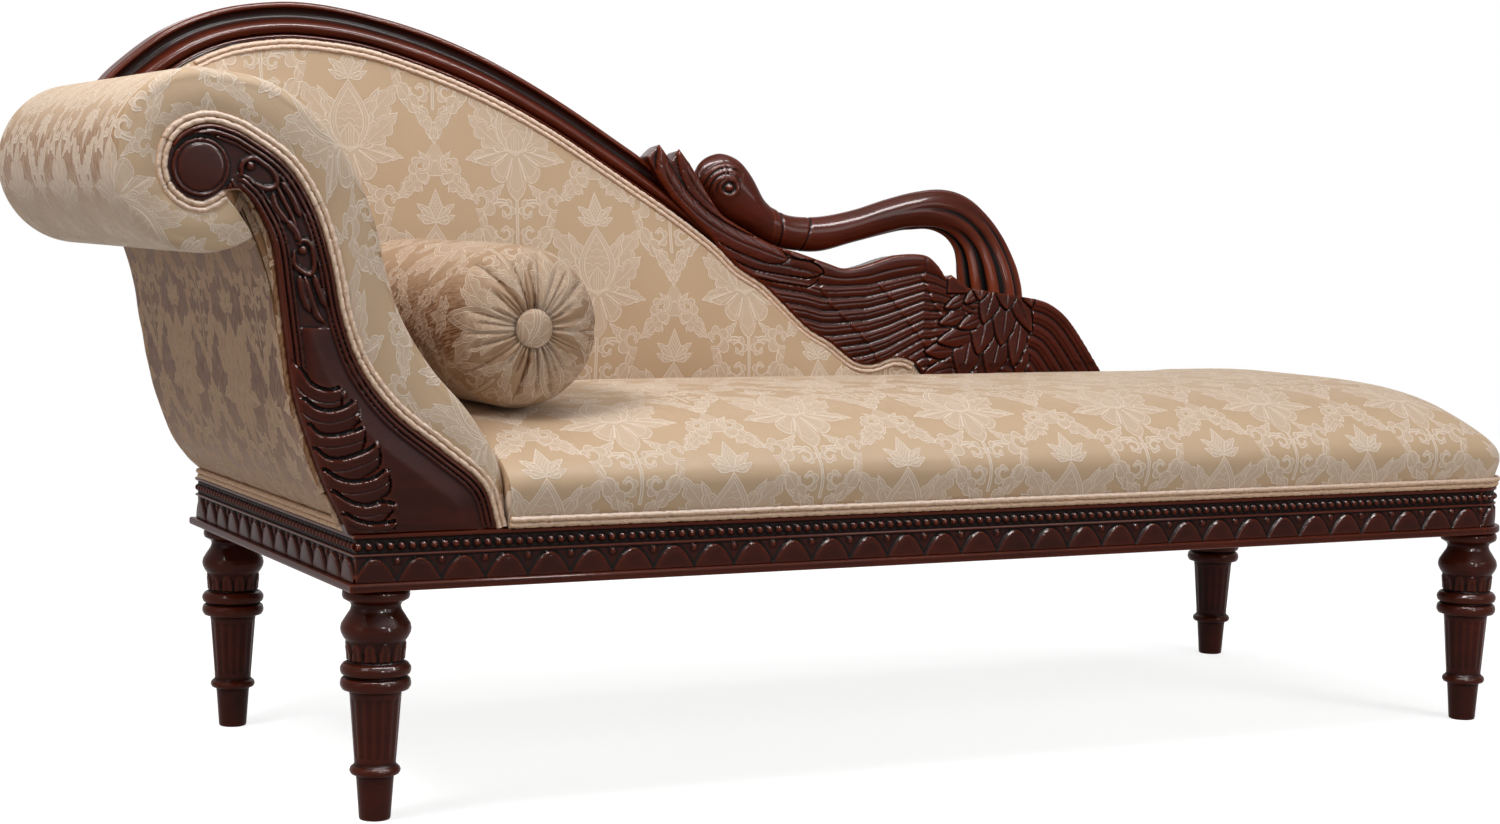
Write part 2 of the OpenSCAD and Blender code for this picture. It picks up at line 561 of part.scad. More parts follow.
module arm_front_border() color(cloth) slab(border_face, panel_back) polygon(concat(
  [for (i = [0 : len(arm_inside) - 1])
    arm_inside[i] + side_normal(arm_inside, i) * (2 + 7 * min(1, arm_inside[i][1] / 80))],
  arc(roll_axis, roll_radius - 9, 92, 286, 18), on_arm([[-122, 320], [-117, 342]]), beside(panel_edge, 0.6)));
arm_cover_back = board_back + 2 * gap + cover_thickness;
module arm_outside_cover() color(cloth) slab(former_face, arm_cover_back) intersection() {
  polygon(concat(arm_outside, backwards(beside(arm_outside, cover_thickness))));
  translate([-roll_reach, 2 * gap]) square([2 * roll_reach, roll_rise]);
}
module panel_shape() polygon(concat(panel_edge, panel_inner));
module arm_front_panel() color(wood) slab(panel_face, panel_back) panel_shape();
module moulding(path, near, far) polygon(concat(beside(path, -near), backwards(beside(path, -far))));
module arm_mouldings() color(wood) slab(panel_face - moulding_relief, panel_face) {
  edge = piece_of(panel_edge, 0.45, 0.98);
  inner = piece_of(panel_inner, 0.48, 0.83);
  moulding(edge, 3, 7);
  moulding(edge, 9, 12);
  moulding(inner, 3, 7);
  moulding(inner, 9, 12);
}
module arm_boss() color(wood) slab(panel_face - boss_relief, panel_face)
  translate(boss_axis) circle(boss_radius, $fn = 64);
// Pointed leaf from a to b, half as wide as given on each side.
function leaf(a, b, half) = let (d = b - a, s = left_of(unit(d)))
  concat([for (t = [0 : 0.125 : 1]) a + d * t + s * half * pow(sin(180 * t), 0.8)],
    [for (t = [0.875 : -0.125 : 0.125]) a + d * t - s * half * pow(sin(180 * t), 0.8)]);
husk_buds = on_arm([[-104, 371], [-54, 292]]);
husk_tips = on_arm([[-66, 320], [-42, 240]]);
module arm_husks() color(wood) for (i = [0, 1]) {
  along = husk_tips[i] - husk_buds[i];
  across = left_of(unit(along));
  intersection() {
    at_arm() translate([husk_buds[i][0], panel_face, husk_buds[i][1]]) sphere(7, $fn = 32);
    at_arm() translate([husk_buds[i][0] - 10, panel_face - 10, husk_buds[i][1] - 10]) cube([20, 10, 20]);
  }
  slab(panel_face - 3.5, panel_face) for (s = [-1, 0, 1])
    polygon(leaf(husk_buds[i] + along * 0.12,
      husk_buds[i] + along * (1 - 0.15 * abs(s)) + across * 7 * s, 4.5));
}
leaf_lobes = on_arm([[-24, 150], [-14, 126], [-6, 102], [4, 78], [14, 52]]);
lobe_radius = 26;
module arm_leaf() color(wood) {
  slab(panel_face - 3, panel_face) polygon(leaf_outline);
  slab(panel_face - leaf_relief, panel_face - 2.9) intersection() {
    polygon(leaf_outline);
    for (i = [0 : len(leaf_lobes) - 1]) translate(leaf_lobes[i]) difference() {
      circle(lobe_radius + 1.5 * i, $fn = 48);
      translate([5, 9]) circle(lobe_radius + 1.5 * i, $fn = 48);
    }
  }
}
module arm_front_piping() color(cloth)
  front_tube(beside(panel_edge, 5), border_face - gap - cord, 4, cord);
arm_piping_x = x_head + 6.7 - seat_side_step - cover_thickness;
module arm_base_piping() color(cloth) translate([arm_piping_x, former_face + 1, z_top])
  rotate([0, 0, 90]) piping_run(board_back - former_face);

// Back.
wing_line = [for (i = [1 : len(wing_foot) - 1]) wing_foot[i]];
board_top = concat(beside(crest_inner, -gap), beside(wing_line, -gap));
module back_shape(foot) polygon(concat(board_top, [[wing_end - gap, foot], [rail_thickness + gap, foot]],
  [[rail_thickness + gap, 2 * gap]], beside(arm_outside, -gap)));
module back_board() color(inner_wood) slab(board_face, board_back) back_shape(board_foot);
module back_outside_cover() color(cloth) slab(board_back + gap, board_back + gap + 2) back_shape(2 * gap);
back_stations = [for (u = [-58, -45, -25, 0, 35, 75, 115, 155, 200, 250, 300, 350, 400, 450, 500, 550, 600,
  650, 700, 750, 800, 850, 890, 920, 955, 985, 1004]) u * swan_end / 1296];
top_table = concat(crest_inner, wing_line);
side_table = backwards(piece_of(arm_inside, 0.1, 1));
pad_turn = arm_inside[0][0] - 11;
function pad_low(u) = u < pad_turn ? lookup(u, side_table) + 3
  : mix(lookup(pad_turn, side_table) + 3, 1, ease((u - pad_turn) / 25));
function pad_ring(u) = let (low = pad_low(u), high = lookup(u, top_table) - 1,
    fade = ease((u + 60) / 110) * ease((wing_end + 10 - u) / 230))
  concat([for (k = [0 : 8]) let (t = 1 - k / 8)
      [x_head + u,
        board_face - gap - back_pad_edge - (back_pad - back_pad_edge) * fade * pow(sin(180 * t), 1.6),
        z_top + mix(low, high, t)]],
    [[x_head + u, board_face - gap, z_top + low], [x_head + u, board_face - gap, z_top + high]]);
module back_padding() color(cloth) loft([for (u = back_stations) pad_ring(u)]);
back_piping_y = board_face - gap - back_pad_edge - 2 - cord;
module back_piping() color(cloth)
  front_tube(concat(piece_of(beside(crest_inner, -5), 0.22, 0.97),
    piece_of(beside(wing_foot, -5), 0.12, 0.9)), back_piping_y, 4, cord);
module crest_rail() color(wood) loft([for (i = [0 : len(crest_outer) - 1]) concat(
  [deep(crest_outer[i], carve_back)],
  [for (c = crest_section) deep(mix(crest_outer[i], crest_inner[i], c[0]), crest_face + c[1])],
  [deep(crest_inner[i], carve_back)])]);

// Swan.
wing_left = on_back([[582, 399], [597, 375], [615, 352], [642, 327], [672, 302]]);
wing_tips = on_back([[624, 415], [614, 399], [610, 402], [596, 420], [580, 404]]);
neck_seat = on_back([[1172, 220.5], [1070, 234.5]]);
crest_notch = on_back([[691, 294.5], [684.5, 287.3]]);
module swan_shape() polygon(concat(wing_foot, [[wing_end + 2, 80], [wing_end + 2, gap], [swan_end - 10, gap],
  [swan_end - 3, 70]], tail_top, neck_seat, wing_top, wing_tips, wing_left));
module crest_pocket() polygon(concat(beside(crest_outer, 0.5), crest_notch,
  backwards(beside(crest_inner, -0.5))));
module swan_board() color(wood) difference() {
  slab(swan_face, carve_back) swan_shape();
  slab(crest_face - gap, carve_back + 1) crest_pocket();
  dowels(dowel_radius + fit, -1, dowel_depth + 2);
}
module swan_dowels() color(inner_wood) dowels(dowel_radius, -dowel_depth, dowel_depth);
// A feather: a band along its middle line that narrows to round ends.
function feather(c, half) = let (n = len(c) - 1)
  concat([for (i = [0 : n]) c[i] + side_normal(c, i) * half * pow(sin(180 * mix(0.03, 0.97, i / n)), 0.4)],
    [for (i = [n : -1 : 0]) c[i] - side_normal(c, i) * half * pow(sin(180 * mix(0.03, 0.97, i / n)), 0.4)]);
row_top = on_back([[702, 266], [780, 270], [860, 252], [950, 266], [1012, 256]]);
row_low = on_back([[900, 138], [935, 140], [970, 150], [1010, 162], [1050, 180]]);
long_feathers = [
  on_back([[597, 416], [603, 386], [624, 354], [660, 322], [705, 297], [755, 279], [800, 266]]),
  on_back([[624, 411], [636, 384], [660, 352], [700, 321], [745, 301], [790, 288], [830, 274]])];
module carved(height) slab(swan_face - height, swan_face) intersection() {
  children();
  swan_shape();
}
module wing_feathers() color(wood) {
  for (i = [0, 1]) carved(feather_relief * (0.7 + 0.3 * i)) polygon(feather(spline(long_feathers[i], 3), 9));
  for (k = [0 : feather_rows - 1], j = [0 : 2])
    carved(feather_relief * (0.55 + 0.2 * j))
      polygon(feather(piece_of(spline(between(row_top, row_low, k / (feather_rows - 1)), 6),
        [0, 0.36, 0.68][j], [0.42, 0.74, 1][j]), 8.5));
}
breast_roots = on_back([[1082, 232], [1069, 206], [1079, 180], [1064, 154]]);
breast_counts = [4, 4, 4, 5];
module breast_feathers() color(wood) for (r = [0 : 3]) carved(feather_relief * (1 - 0.15 * r))
  for (i = [0 : breast_counts[r] - 1]) {
    root = breast_roots[r] + [25 * i, -2 * i];
    polygon(leaf(root, root + [3 * i - 6, -44], 12));
  }
tail_left = on_back([[1167, 180], [1177, 162], [1192, 138], [1205, 113]]);
tail_right = on_back([[1184, 212], [1226, 190], [1258, 152], [1286, 113]]);
module tail_feathers() color(wood) for (k = [0 : 4]) carved(feather_relief * (0.6 + 0.1 * k))
  polygon(feather(spline(between(tail_left, tail_right, k / 4), 4), 8));
neck_y = (swan_face + carve_back) / 2;
function limb_ring(outer, inner, half) = [for (k = [0 : 15])
  let (c = (outer + inner) / 2, h = (outer - inner) / 2)
    deep(c + h * cos(22.5 * k), neck_y + half * sin(22.5 * k))];
module swan_neck() color(wood) loft([for (i = [0 : len(neck_outer) - 1])
  limb_ring(neck_outer[i], neck_inner[i], neck_half_depth + 5 * ease(1 - i / 6))]);
module swan_head() color(wood) loft([for (i = [0 : len(head_outer) - 1])
  let (t = i / (len(head_outer) - 1), taper = sqrt(1 - 0.85 * ease(2.4 * t - 1.4)))
    limb_ring(head_outer[i], head_inner[i], mix(neck_half_depth, head_half_depth, ease(3 * t)) * taper)]);

// Bolster, lying on the seat against the back.
bolster_back = seat_back_pad - gap;
bolster_z = gap + seat_top(bolster_place) + gap + bolster_radius;
// The gathered end: distance in from the button's face, share of the radius, share of the gathers.
bolster_end = [[button_thickness, (button_radius + 0.8) / bolster_radius, 0],
  [button_thickness * 0.5, 0.38, 0.6], [gather_depth * 0.16, 0.58, 1], [gather_depth * 0.4, 0.8, 1],
  [gather_depth * 0.68, 0.935, 0.6], [gather_depth, 1, 0.1]];
function bolster_ring(y, share, ripple) = [for (k = [0 : 2 * gathers - 1])
  let (a = 180 * k / gathers, r = bolster_radius * share - (k % 2) * gather_height * ripple)
    [x_head + bolster_place + r * sin(a), y, z_top + bolster_z + r * cos(a)]];
module bolster_roll() color(cloth) loft(concat(
  [for (e = bolster_end) bolster_ring(bolster_back - bolster_length + e[0], e[1], e[2])],
  [bolster_ring(bolster_back - bolster_length / 2, 1, 0)],
  [for (e = backwards(bolster_end)) bolster_ring(bolster_back - e[0], e[1], e[2])]));
module button() rotate_extrude($fn = 48) polygon([[0, gap], [button_radius - 2, gap],
  [button_radius, 1.5], [button_radius, 2.5], [button_radius * 0.8, button_thickness - 2],
  [button_radius * 0.45, button_thickness - 0.5], [0, button_thickness]]);
module bolster_buttons() color(cloth) {
  translate([x_head + bolster_place, bolster_back - button_thickness, z_top + bolster_z])
    rotate([-90, 0, 0]) button();
  translate([x_head + bolster_place, bolster_back - bolster_length + button_thickness, z_top + bolster_z])
    rotate([90, 0, 0]) button();
}

front_rail();
back_rail();
head_rail();
foot_rail();
foot_corner_front();
foot_corner_back();
leg_front_head();
leg_front_foot();
leg_back_head();
leg_back_foot();
corner_blocks();
block_screws();
cross_braces();
front_ledger();
back_ledger();
back_cleat();
webbing_across();
webbing_along();
seat_deck();
dust_cover();
seat_cushion();
seat_piping();
arm_former_front();
arm_former_back();
arm_stretchers();
roll_core();
arm_pad_inside();
arm_pad_roll();
arm_front_border();
arm_outside_cover();
arm_front_panel();
arm_mouldings();
arm_boss();
arm_husks();
arm_leaf();
arm_front_piping();
arm_base_piping();
back_board();
back_padding();
back_outside_cover();
back_piping();
crest_rail();
swan_board();
swan_dowels();
wing_feathers();
breast_feathers();
tail_feathers();
swan_neck();
swan_head();
bolster_roll();
bolster_buttons();
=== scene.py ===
import json
from functools import reduce

import bmesh
import bpy
import numpy as np
from mathutils import Matrix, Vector
from mathutils.geometry import delaunay_2d_cdt


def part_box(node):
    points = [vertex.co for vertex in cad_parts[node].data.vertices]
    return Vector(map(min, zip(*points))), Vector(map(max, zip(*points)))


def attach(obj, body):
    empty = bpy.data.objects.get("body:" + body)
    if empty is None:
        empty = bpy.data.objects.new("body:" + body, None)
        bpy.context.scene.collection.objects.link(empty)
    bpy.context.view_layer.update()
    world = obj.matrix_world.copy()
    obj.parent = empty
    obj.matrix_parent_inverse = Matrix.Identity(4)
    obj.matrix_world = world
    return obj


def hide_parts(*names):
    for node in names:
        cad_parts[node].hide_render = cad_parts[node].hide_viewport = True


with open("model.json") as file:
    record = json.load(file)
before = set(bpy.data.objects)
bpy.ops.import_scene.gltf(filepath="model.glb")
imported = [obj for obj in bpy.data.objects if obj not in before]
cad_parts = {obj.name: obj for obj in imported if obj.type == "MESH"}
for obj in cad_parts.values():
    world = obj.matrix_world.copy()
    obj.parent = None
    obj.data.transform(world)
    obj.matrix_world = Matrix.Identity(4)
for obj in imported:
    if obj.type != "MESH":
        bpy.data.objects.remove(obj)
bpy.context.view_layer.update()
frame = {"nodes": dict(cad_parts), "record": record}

nodes = frame["nodes"]

# The outlines share one flat frame in millimetres: u along the couch from the arm's end of the rails,
# w up from the rails' top edge. Depth y is in millimetres too, from the middle to the back.
railLow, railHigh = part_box("front_rail")
xHead = railLow.x * 1000 + 5
zTop = railHigh.z * 1000
yFront = railLow.y * 1000 + 5
railLength = 1550
railDepth = -2 * yFront
fullTurn = 6.2832  # radians


def stacked(*parts):
    return np.stack(np.broadcast_arrays(*parts), -1)


def place(u, y, w):  # from the outlines' frame to metres
    return stacked(u + xHead, y, w + zTop) / 1000


# Small tools for curves and surfaces

# a smooth curve through given points: each span is a cubic of its four nearest
def curve(points, steps=8):
    p = np.array(points, float)
    a = np.vstack([2 * p[:1] - p[1:2], p[:-2]])[:, None]
    b, c = p[:-1][:, None], p[1:][:, None]
    d = np.vstack([p[2:], 2 * p[-1:] - p[-2:-1]])[:, None]
    t = np.linspace(0, 1, steps, endpoint=False)[None, :, None]
    line = 0.5 * (2 * b + (c - a) * t + (2 * a - 5 * b + 4 * c - d) * t**2 + (3 * b - a - 3 * c + d) * t**3)
    return np.vstack([line.reshape(-1, p.shape[1]), p[-1:]])


def lengths(path):  # distance along a path at each of its points
    return np.concatenate([[0], np.cumsum(np.linalg.norm(np.diff(path, axis=0), axis=1))])


def at(path, share):  # points at given shares of a path's length
    far = lengths(path)
    spots = np.asarray(share) * far[-1]
    return np.stack([np.interp(spots, far, column) for column in path.T], -1)


def evenly(path, count):
    return at(path, np.linspace(0, 1, count))


def stepLengths(grid):  # distance along each row of a grid, from its first column
    return np.cumsum(np.linalg.norm(np.diff(grid, axis=1, prepend=grid[:, :1]), axis=-1), 1)


def thinned(outline, least):  # an outline without points that nearly touch the one before
    keep = np.concatenate([[True], np.linalg.norm(np.diff(outline, axis=0), axis=1) > least])
    return outline[keep]


def leftOf(path):  # unit vectors to the left of a flat path
    d = np.gradient(path, axis=0)
    d /= np.linalg.norm(d, axis=1, keepdims=True)
    return np.stack([-d[:, 1], d[:, 0]], -1)


def beside(path, distance):
    return path + leftOf(path) * np.asarray(distance).reshape(-1, 1)


def arc(centre, radius, start, end, count):
    angle = np.radians(np.linspace(start, end, count))
    return np.array(centre) + radius * np.stack([np.cos(angle), np.sin(angle)], -1)


def unit(t):  # kept between 0 and 1
    return np.clip(t, 0, 1)


def ease(t):  # a smooth step from 0 to 1
    t = unit(t)
    return t * t * (3 - 2 * t)


def bell(x, width):  # exp(-(x / width)^2), for cuts and small ridges
    return np.exp(-((x / width) ** 2))


def circle(count):  # angles once round, in one row
    return np.linspace(0, 2 * np.pi, count, endpoint=False)[None]


def bump(x, width):  # a round hump, 1 in the middle and 0 from width on
    return np.sqrt(unit(1 - (x / width) ** 2))


def ripple(seed, count=5, low=1.0, high=4.0):  # a smooth made-up waviness of one share, the same on every run
    rng = np.random.default_rng(seed)
    waves = [(rng.uniform(low, high), rng.uniform(0, 6.28), rng.uniform(0.4, 1)) for _ in range(count)]
    return lambda t: sum(s * np.sin(fullTurn * f * t + p) for f, p, s in waves) / count


def nearest(points, path):  # distance to a path, share of its length there, and the side: left is positive
    a, span = path[:-1], np.diff(path, axis=0)
    rel = points[:, None] - a
    t = unit((rel * span).sum(-1) / (span**2).sum(-1))
    gap = np.linalg.norm(rel - t[..., None] * span, axis=-1)
    k = gap.argmin(1)
    row = np.arange(len(points))
    far = lengths(path)
    along = (far[k] + t[row, k] * (far[k + 1] - far[k])) / far[-1]
    r = rel[row, k]
    side = np.sign(span[k, 0] * r[:, 1] - span[k, 1] * r[:, 0])
    return gap[row, k], along, side


def insideOf(points, outline):  # crossing test, all points at once
    a, b = outline, np.roll(outline, -1, 0)
    x, y = points[:, None, 0], points[:, None, 1]
    over = (a[:, 1] > y) != (b[:, 1] > y)
    rise = np.where(b[:, 1] == a[:, 1], 1e-9, b[:, 1] - a[:, 1])
    return (over & (x < (b[:, 0] - a[:, 0]) * (y - a[:, 1]) / rise + a[:, 0])).sum(1) % 2 == 1


# Making the pieces

def dress(o, material, stands):
    o.data.materials.append(material)
    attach(o, "root")
    if stands:
        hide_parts(*stands)
    return o


def readOut(rows, field, width, kind=float):  # one field of all vertices, edges or loops as an array
    values = np.empty(len(rows) * width, kind)
    rows.foreach_get(field, values)
    return values.reshape(-1, width) if width > 1 else values


def carved(o, material, stands, rounds, depth):  # marks how far the surface lies under its own blurred shape
    mesh = o.data
    count = len(mesh.vertices)
    spots = readOut(mesh.vertices, "co", 3)
    normal = readOut(mesh.vertex_normals, "vector", 3, np.float32)
    ends = readOut(mesh.edges, "vertices", 2, int)
    neighbours = np.maximum(np.bincount(ends.ravel(), minlength=count), 1)[:, None]

    def blurred(field):
        total = [np.bincount(ends[:, 0], field[ends[:, 1], k], count)
                 + np.bincount(ends[:, 1], field[ends[:, 0], k], count) for k in range(field.shape[1])]
        return 0.5 * field + 0.5 * np.stack(total, -1) / neighbours

    soft = spots
    for _ in range(rounds):
        soft = blurred(soft)
    hollow = ((soft - spots) * normal).sum(1, keepdims=True) * 1000 / depth
    for _ in range(2):
        hollow = blurred(hollow)
    mesh.attributes.new("hollow", "FLOAT", "POINT").data.foreach_set("value", hollow[:, 0].astype(np.float32))
    return dress(o, material, stands)


def finishMesh(name, points, faces, cornerUv, sharp):
    mesh = bpy.data.meshes.new(name)
    mesh.from_pydata(points.tolist(), [], faces)
    if cornerUv is not None:
        mesh.uv_layers.new(name="cloth").data.foreach_set("uv", cornerUv.astype(np.float32).ravel())
    bm = bmesh.new()
    bm.from_mesh(mesh)
    bmesh.ops.recalc_face_normals(bm, faces=bm.faces)
    bm.to_mesh(mesh)
    bm.free()
    mesh.polygons.foreach_set("use_smooth", [True] * len(mesh.polygons))
    if sharp:
        mesh.set_sharp_from_angle(angle=np.radians(sharp))
    o = bpy.data.objects.new(name, mesh)
    bpy.context.scene.collection.objects.link(o)
    return o


# A grid of points becomes a skin: rows run along the piece, columns round it. Ends of a tube get flat caps.
def skin(name, grid, around=True, endless=False, caps=True, uv=None, sharp=50):
    rows, cols = grid.shape[:2]
    i = np.arange(rows if endless else rows - 1)[:, None]
    k = np.arange(cols if around else cols - 1)[None]
    i2, k2 = (i + 1) % rows, (k + 1) % cols
    faces = stacked(i * cols + k, i * cols + k2, i2 * cols + k2, i2 * cols + k)
    faces = faces.reshape(-1, 4).tolist()
    corner = None
    if uv is not None:  # uv has one more column than the grid where the skin closes on itself
        corner = np.stack([uv[i, k], uv[i, k + 1], uv[i + 1, k + 1], uv[i + 1, k]], 2).reshape(-1, 2)
    if around and caps and not endless:
        for ring in (range(cols), range((rows - 1) * cols, rows * cols)):
            faces.append(list(ring))
            if uv is not None:
                corner = np.vstack([corner, uv[0 if ring[0] == 0 else -1, :cols]])
    return finishMesh(name, grid.reshape(-1, 3), faces, corner, sharp)


# Carved relief: a field of points inside an outline, moved forward by a height worked out for all at once.
def relief(name, outline, spacing, height, back, sharp=60):
    outline = np.vstack([outline, outline[:1]])
    rim = evenly(outline, int(lengths(outline)[-1] / spacing))[:-1]
    low, high = rim.min(0), rim.max(0)
    columns, levels = np.arange(low[0], high[0], spacing), np.arange(low[1], high[1], spacing * 0.87)
    gridU, gridW = np.meshgrid(columns, levels)
    gridU[1::2] += spacing / 2
    field = np.stack([gridU.ravel(), gridW.ravel()], -1)
    field = field[insideOf(field, rim)]
    closed = np.vstack([rim, rim[:1]])

    def gapTo(spots):  # distance to the rim, some thousands of points at a time
        parts = np.array_split(spots, max(1, len(spots) // 4000))
        return np.concatenate([nearest(part, closed)[0] for part in parts])

    field = field[gapTo(field) > 0.6 * spacing]
    flat = np.vstack([rim, field])
    edges = [(k, (k + 1) % len(rim)) for k in range(len(rim))]
    points, _, faces = delaunay_2d_cdt([tuple(p) for p in flat.tolist()], edges, [], 1, 1e-4)[:3]
    points = np.array([tuple(p) for p in points])
    n, count = len(points), len(rim)
    front = place(points[:, 0], back - height(points, gapTo(points)), points[:, 1])
    rear = place(points[:count, 0], back, points[:count, 1])
    ring = np.arange(count)
    after = (ring + 1) % count
    walls = np.stack([ring, after, after + n, ring + n], -1).tolist()
    return finishMesh(name, np.vstack([front, rear]), faces + walls + [(ring + n).tolist()], None, sharp)


# Materials

def operator(operation, swapped=False):  # an operator of Wire: it adds a Math node
    def act(self, other):
        pair = (other, self) if swapped else (self, other)
        return self.board.maths(operation, *pair)
    return act


class Wire:  # an output of a shader node
    def __init__(self, board, socket):
        self.board, self.socket = board, socket

    __add__ = operator("ADD")
    __radd__ = operator("ADD", True)
    __sub__ = operator("SUBTRACT")
    __rsub__ = operator("SUBTRACT", True)
    __mul__ = operator("MULTIPLY")
    __rmul__ = operator("MULTIPLY", True)
    __truediv__ = operator("DIVIDE")
    __pow__ = operator("POWER")

    def __neg__(self):
        return self.board.maths("MULTIPLY", self, -1.0)

    def __abs__(self):
        return self.board.maths("ABSOLUTE", self)


class Board:  # one material, or the world, and its nodes
    def __init__(self, name, owner=None):
        self.material = owner or bpy.data.materials.new(name)
        self.material.use_nodes = True
        self.tree = self.material.node_tree
        self.tree.nodes.clear()

    def node(self, kind, settings=None, inputs=None, out=0):
        n = self.tree.nodes.new(kind)
        for key, value in (settings or {}).items():
            setattr(n, key, value)
        for key, value in (inputs or {}).items():
            if isinstance(value, Wire):
                self.tree.links.new(value.socket, n.inputs[key])
            else:
                n.inputs[key].default_value = value
        return Wire(self, n.outputs[out]) if n.outputs else n

    def maths(self, operation, *values):
        return self.node("ShaderNodeMath", {"operation": operation}, dict(enumerate(values)))

    def held(self, operation, *values):  # the same, kept between 0 and 1
        settings = {"operation": operation, "use_clamp": True}
        return self.node("ShaderNodeMath", settings, dict(enumerate(values)))

    def least(self, *values):
        return reduce(lambda a, b: self.maths("MINIMUM", a, b), values)

    def most(self, *values):
        return reduce(lambda a, b: self.maths("MAXIMUM", a, b), values)

    def sine(self, value):
        return self.maths("SINE", value)

    def cosine(self, value):
        return self.maths("COSINE", value)

    def folded(self, value, size):  # the distance from the nearest multiple of size
        return value - self.maths("ROUND", value / size) * size

    def within(self, distance, soft=0.8):  # 1 where distance is under 0, with a soft edge
        return self.held("SUBTRACT", 0.5, distance / soft)

    def line(self, distance, half=0.6, soft=0.8):
        return self.within(abs(distance) - half, soft)

    def mix(self, factor, a, b):  # colours are given as read from the photo, or as links
        a, b = (colour if isinstance(colour, Wire) else srgb(*colour) for colour in (a, b))
        return self.node("ShaderNodeMix", {"data_type": "RGBA"}, {0: factor, 6: a, 7: b}, 2)

    def noise(self, vector, scale, detail=3.0, rough=0.5):  # three scales stretch the noise
        if isinstance(scale, tuple):
            vector, scale = self.node("ShaderNodeMapping", {}, {"Vector": vector, "Scale": scale}), 1.0
        inputs = {"Vector": vector, "Scale": scale, "Detail": detail, "Roughness": rough}
        return self.node("ShaderNodeTexNoise", {}, inputs)

    def raised(self, height, strength, distance):
        return self.node("ShaderNodeBump", {}, {"Strength": strength, "Distance": distance, "Height": height})

    def place(self):
        return self.node("ShaderNodeTexCoord", out=3)

    def attribute(self, name):
        return self.node("ShaderNodeAttribute", {"attribute_name": name}, out=2)

    def parts(self, vector):
        split = self.node("ShaderNodeSeparateXYZ", {}, {0: vector})
        return [Wire(self, split.socket.node.outputs[k]) for k in range(3)]

    def whenSeen(self, plain, shown):  # shown to the camera, in gloss and through glass, else plain
        seen = self.most(*[self.node("ShaderNodeLightPath", out=k) for k in (0, 3, 6)])
        return self.node("ShaderNodeMixShader", {}, {0: seen, 1: plain, 2: shown})

    def finish(self, inputs):
        shader = self.node("ShaderNodeBsdfPrincipled", {}, inputs)
        self.node("ShaderNodeOutputMaterial", {}, {0: shader})
        return self.material


def srgb(r, g, b):  # a colour as read from the photo, 0 to 255, to the scene's own scale
    c = np.array([r, g, b]) / 255
    return (*np.where(c > 0.04045, ((c + 0.055) / 1.055) ** 2.4, c / 12.92).tolist(), 1.0)


# hollow is the near-black colour of painted shade, in the carving's hollows and on the darkened copies
mahoganyLook = {"red": (92, 31, 14), "dark": (42, 13, 6), "hollow": (5, 3, 2), "paleRidge": (118, 49, 24),
                "spots": (18, 6, 4)}


# Stained and lacquered wood: long grain and soft clouds mix two reds. The hollows of the carving are painted
# near black as painted shade, and the ridges are a little paler;
# the whole colour can also be darkened towards that near black as painted shade for pieces that sit low.
def makeMahogany(name, carved=True, paintedShade=0.0):
    b = Board(name)
    where = b.place()
    grain = b.noise(where, (7, 46, 46), 5.0, 0.6)
    cloud = b.noise(where, 6.0, 3.0)
    pores = b.noise(where, (40, 420, 420), 2.0)
    redness = b.held("MULTIPLY", cloud * 0.9 + grain * 0.8 - 0.5, 1.25)
    colour = b.mix(redness, mahoganyLook["dark"], mahoganyLook["red"])
    colour = b.mix(b.held("MULTIPLY", pores - 0.6, 2.6), colour, mahoganyLook["spots"])
    rough = 0.26 + grain * 0.14
    coat = 0.03
    if carved:
        hollow = b.attribute("hollow")
        paleRidge = b.held("MULTIPLY", -hollow, 0.5)
        # painted shade: the deeper the hollow, the nearer the colour goes to near black
        deep = b.held("MULTIPLY", hollow + cloud * 0.3 - 0.08, 1.5)
        colour = b.mix(deep, b.mix(paleRidge, colour, mahoganyLook["paleRidge"]), mahoganyLook["hollow"])
        rough = rough + deep * 0.3
        coat = 0.1 - deep * 0.08
    # painted shade: the whole piece darkened towards near black
    colour = b.mix(paintedShade, colour, mahoganyLook["hollow"])
    fine = b.noise(where, (30, 240, 240), 3.0)
    normal = b.raised(fine + cloud * 2.0, 0.12, 0.0006)
    return b.finish({"Base Color": colour, "Roughness": rough, "Normal": normal, "Coat Weight": coat,
                     "Coat Roughness": 0.07, "Specular IOR Level": 0.03})


# colours where the cloth lies facing us, and darker copies as painted shade where it lies turned along the
# couch and on the bolster;
# the deepest ground is painted shade on sides that face along the couch, and spread is how much bolder the
# figure shows there
damaskLook = {
    "across": 219.0, "up": 350.0,
    "facing": {"ground": (184, 154, 122), "groundWarm": (197, 171, 142), "groundInShade": (136, 96, 66),
               "figure": (208, 187, 167), "figureWarm": (196, 173, 152), "line": (226, 212, 196),
               "spread": 0.24},
    "turned": {"ground": (146, 106, 74), "groundWarm": (162, 124, 92), "groundInShade": (94, 56, 32),
               "figure": (192, 160, 134), "figureWarm": (178, 146, 118), "line": (214, 188, 162),
               "spread": 0.24},
    "bolster": {"ground": (160, 129, 100), "groundWarm": (174, 145, 118), "groundInShade": (100, 62, 38),
                "figure": (190, 166, 144), "figureWarm": (176, 150, 127), "line": (212, 193, 173),
                "spread": -0.36}}


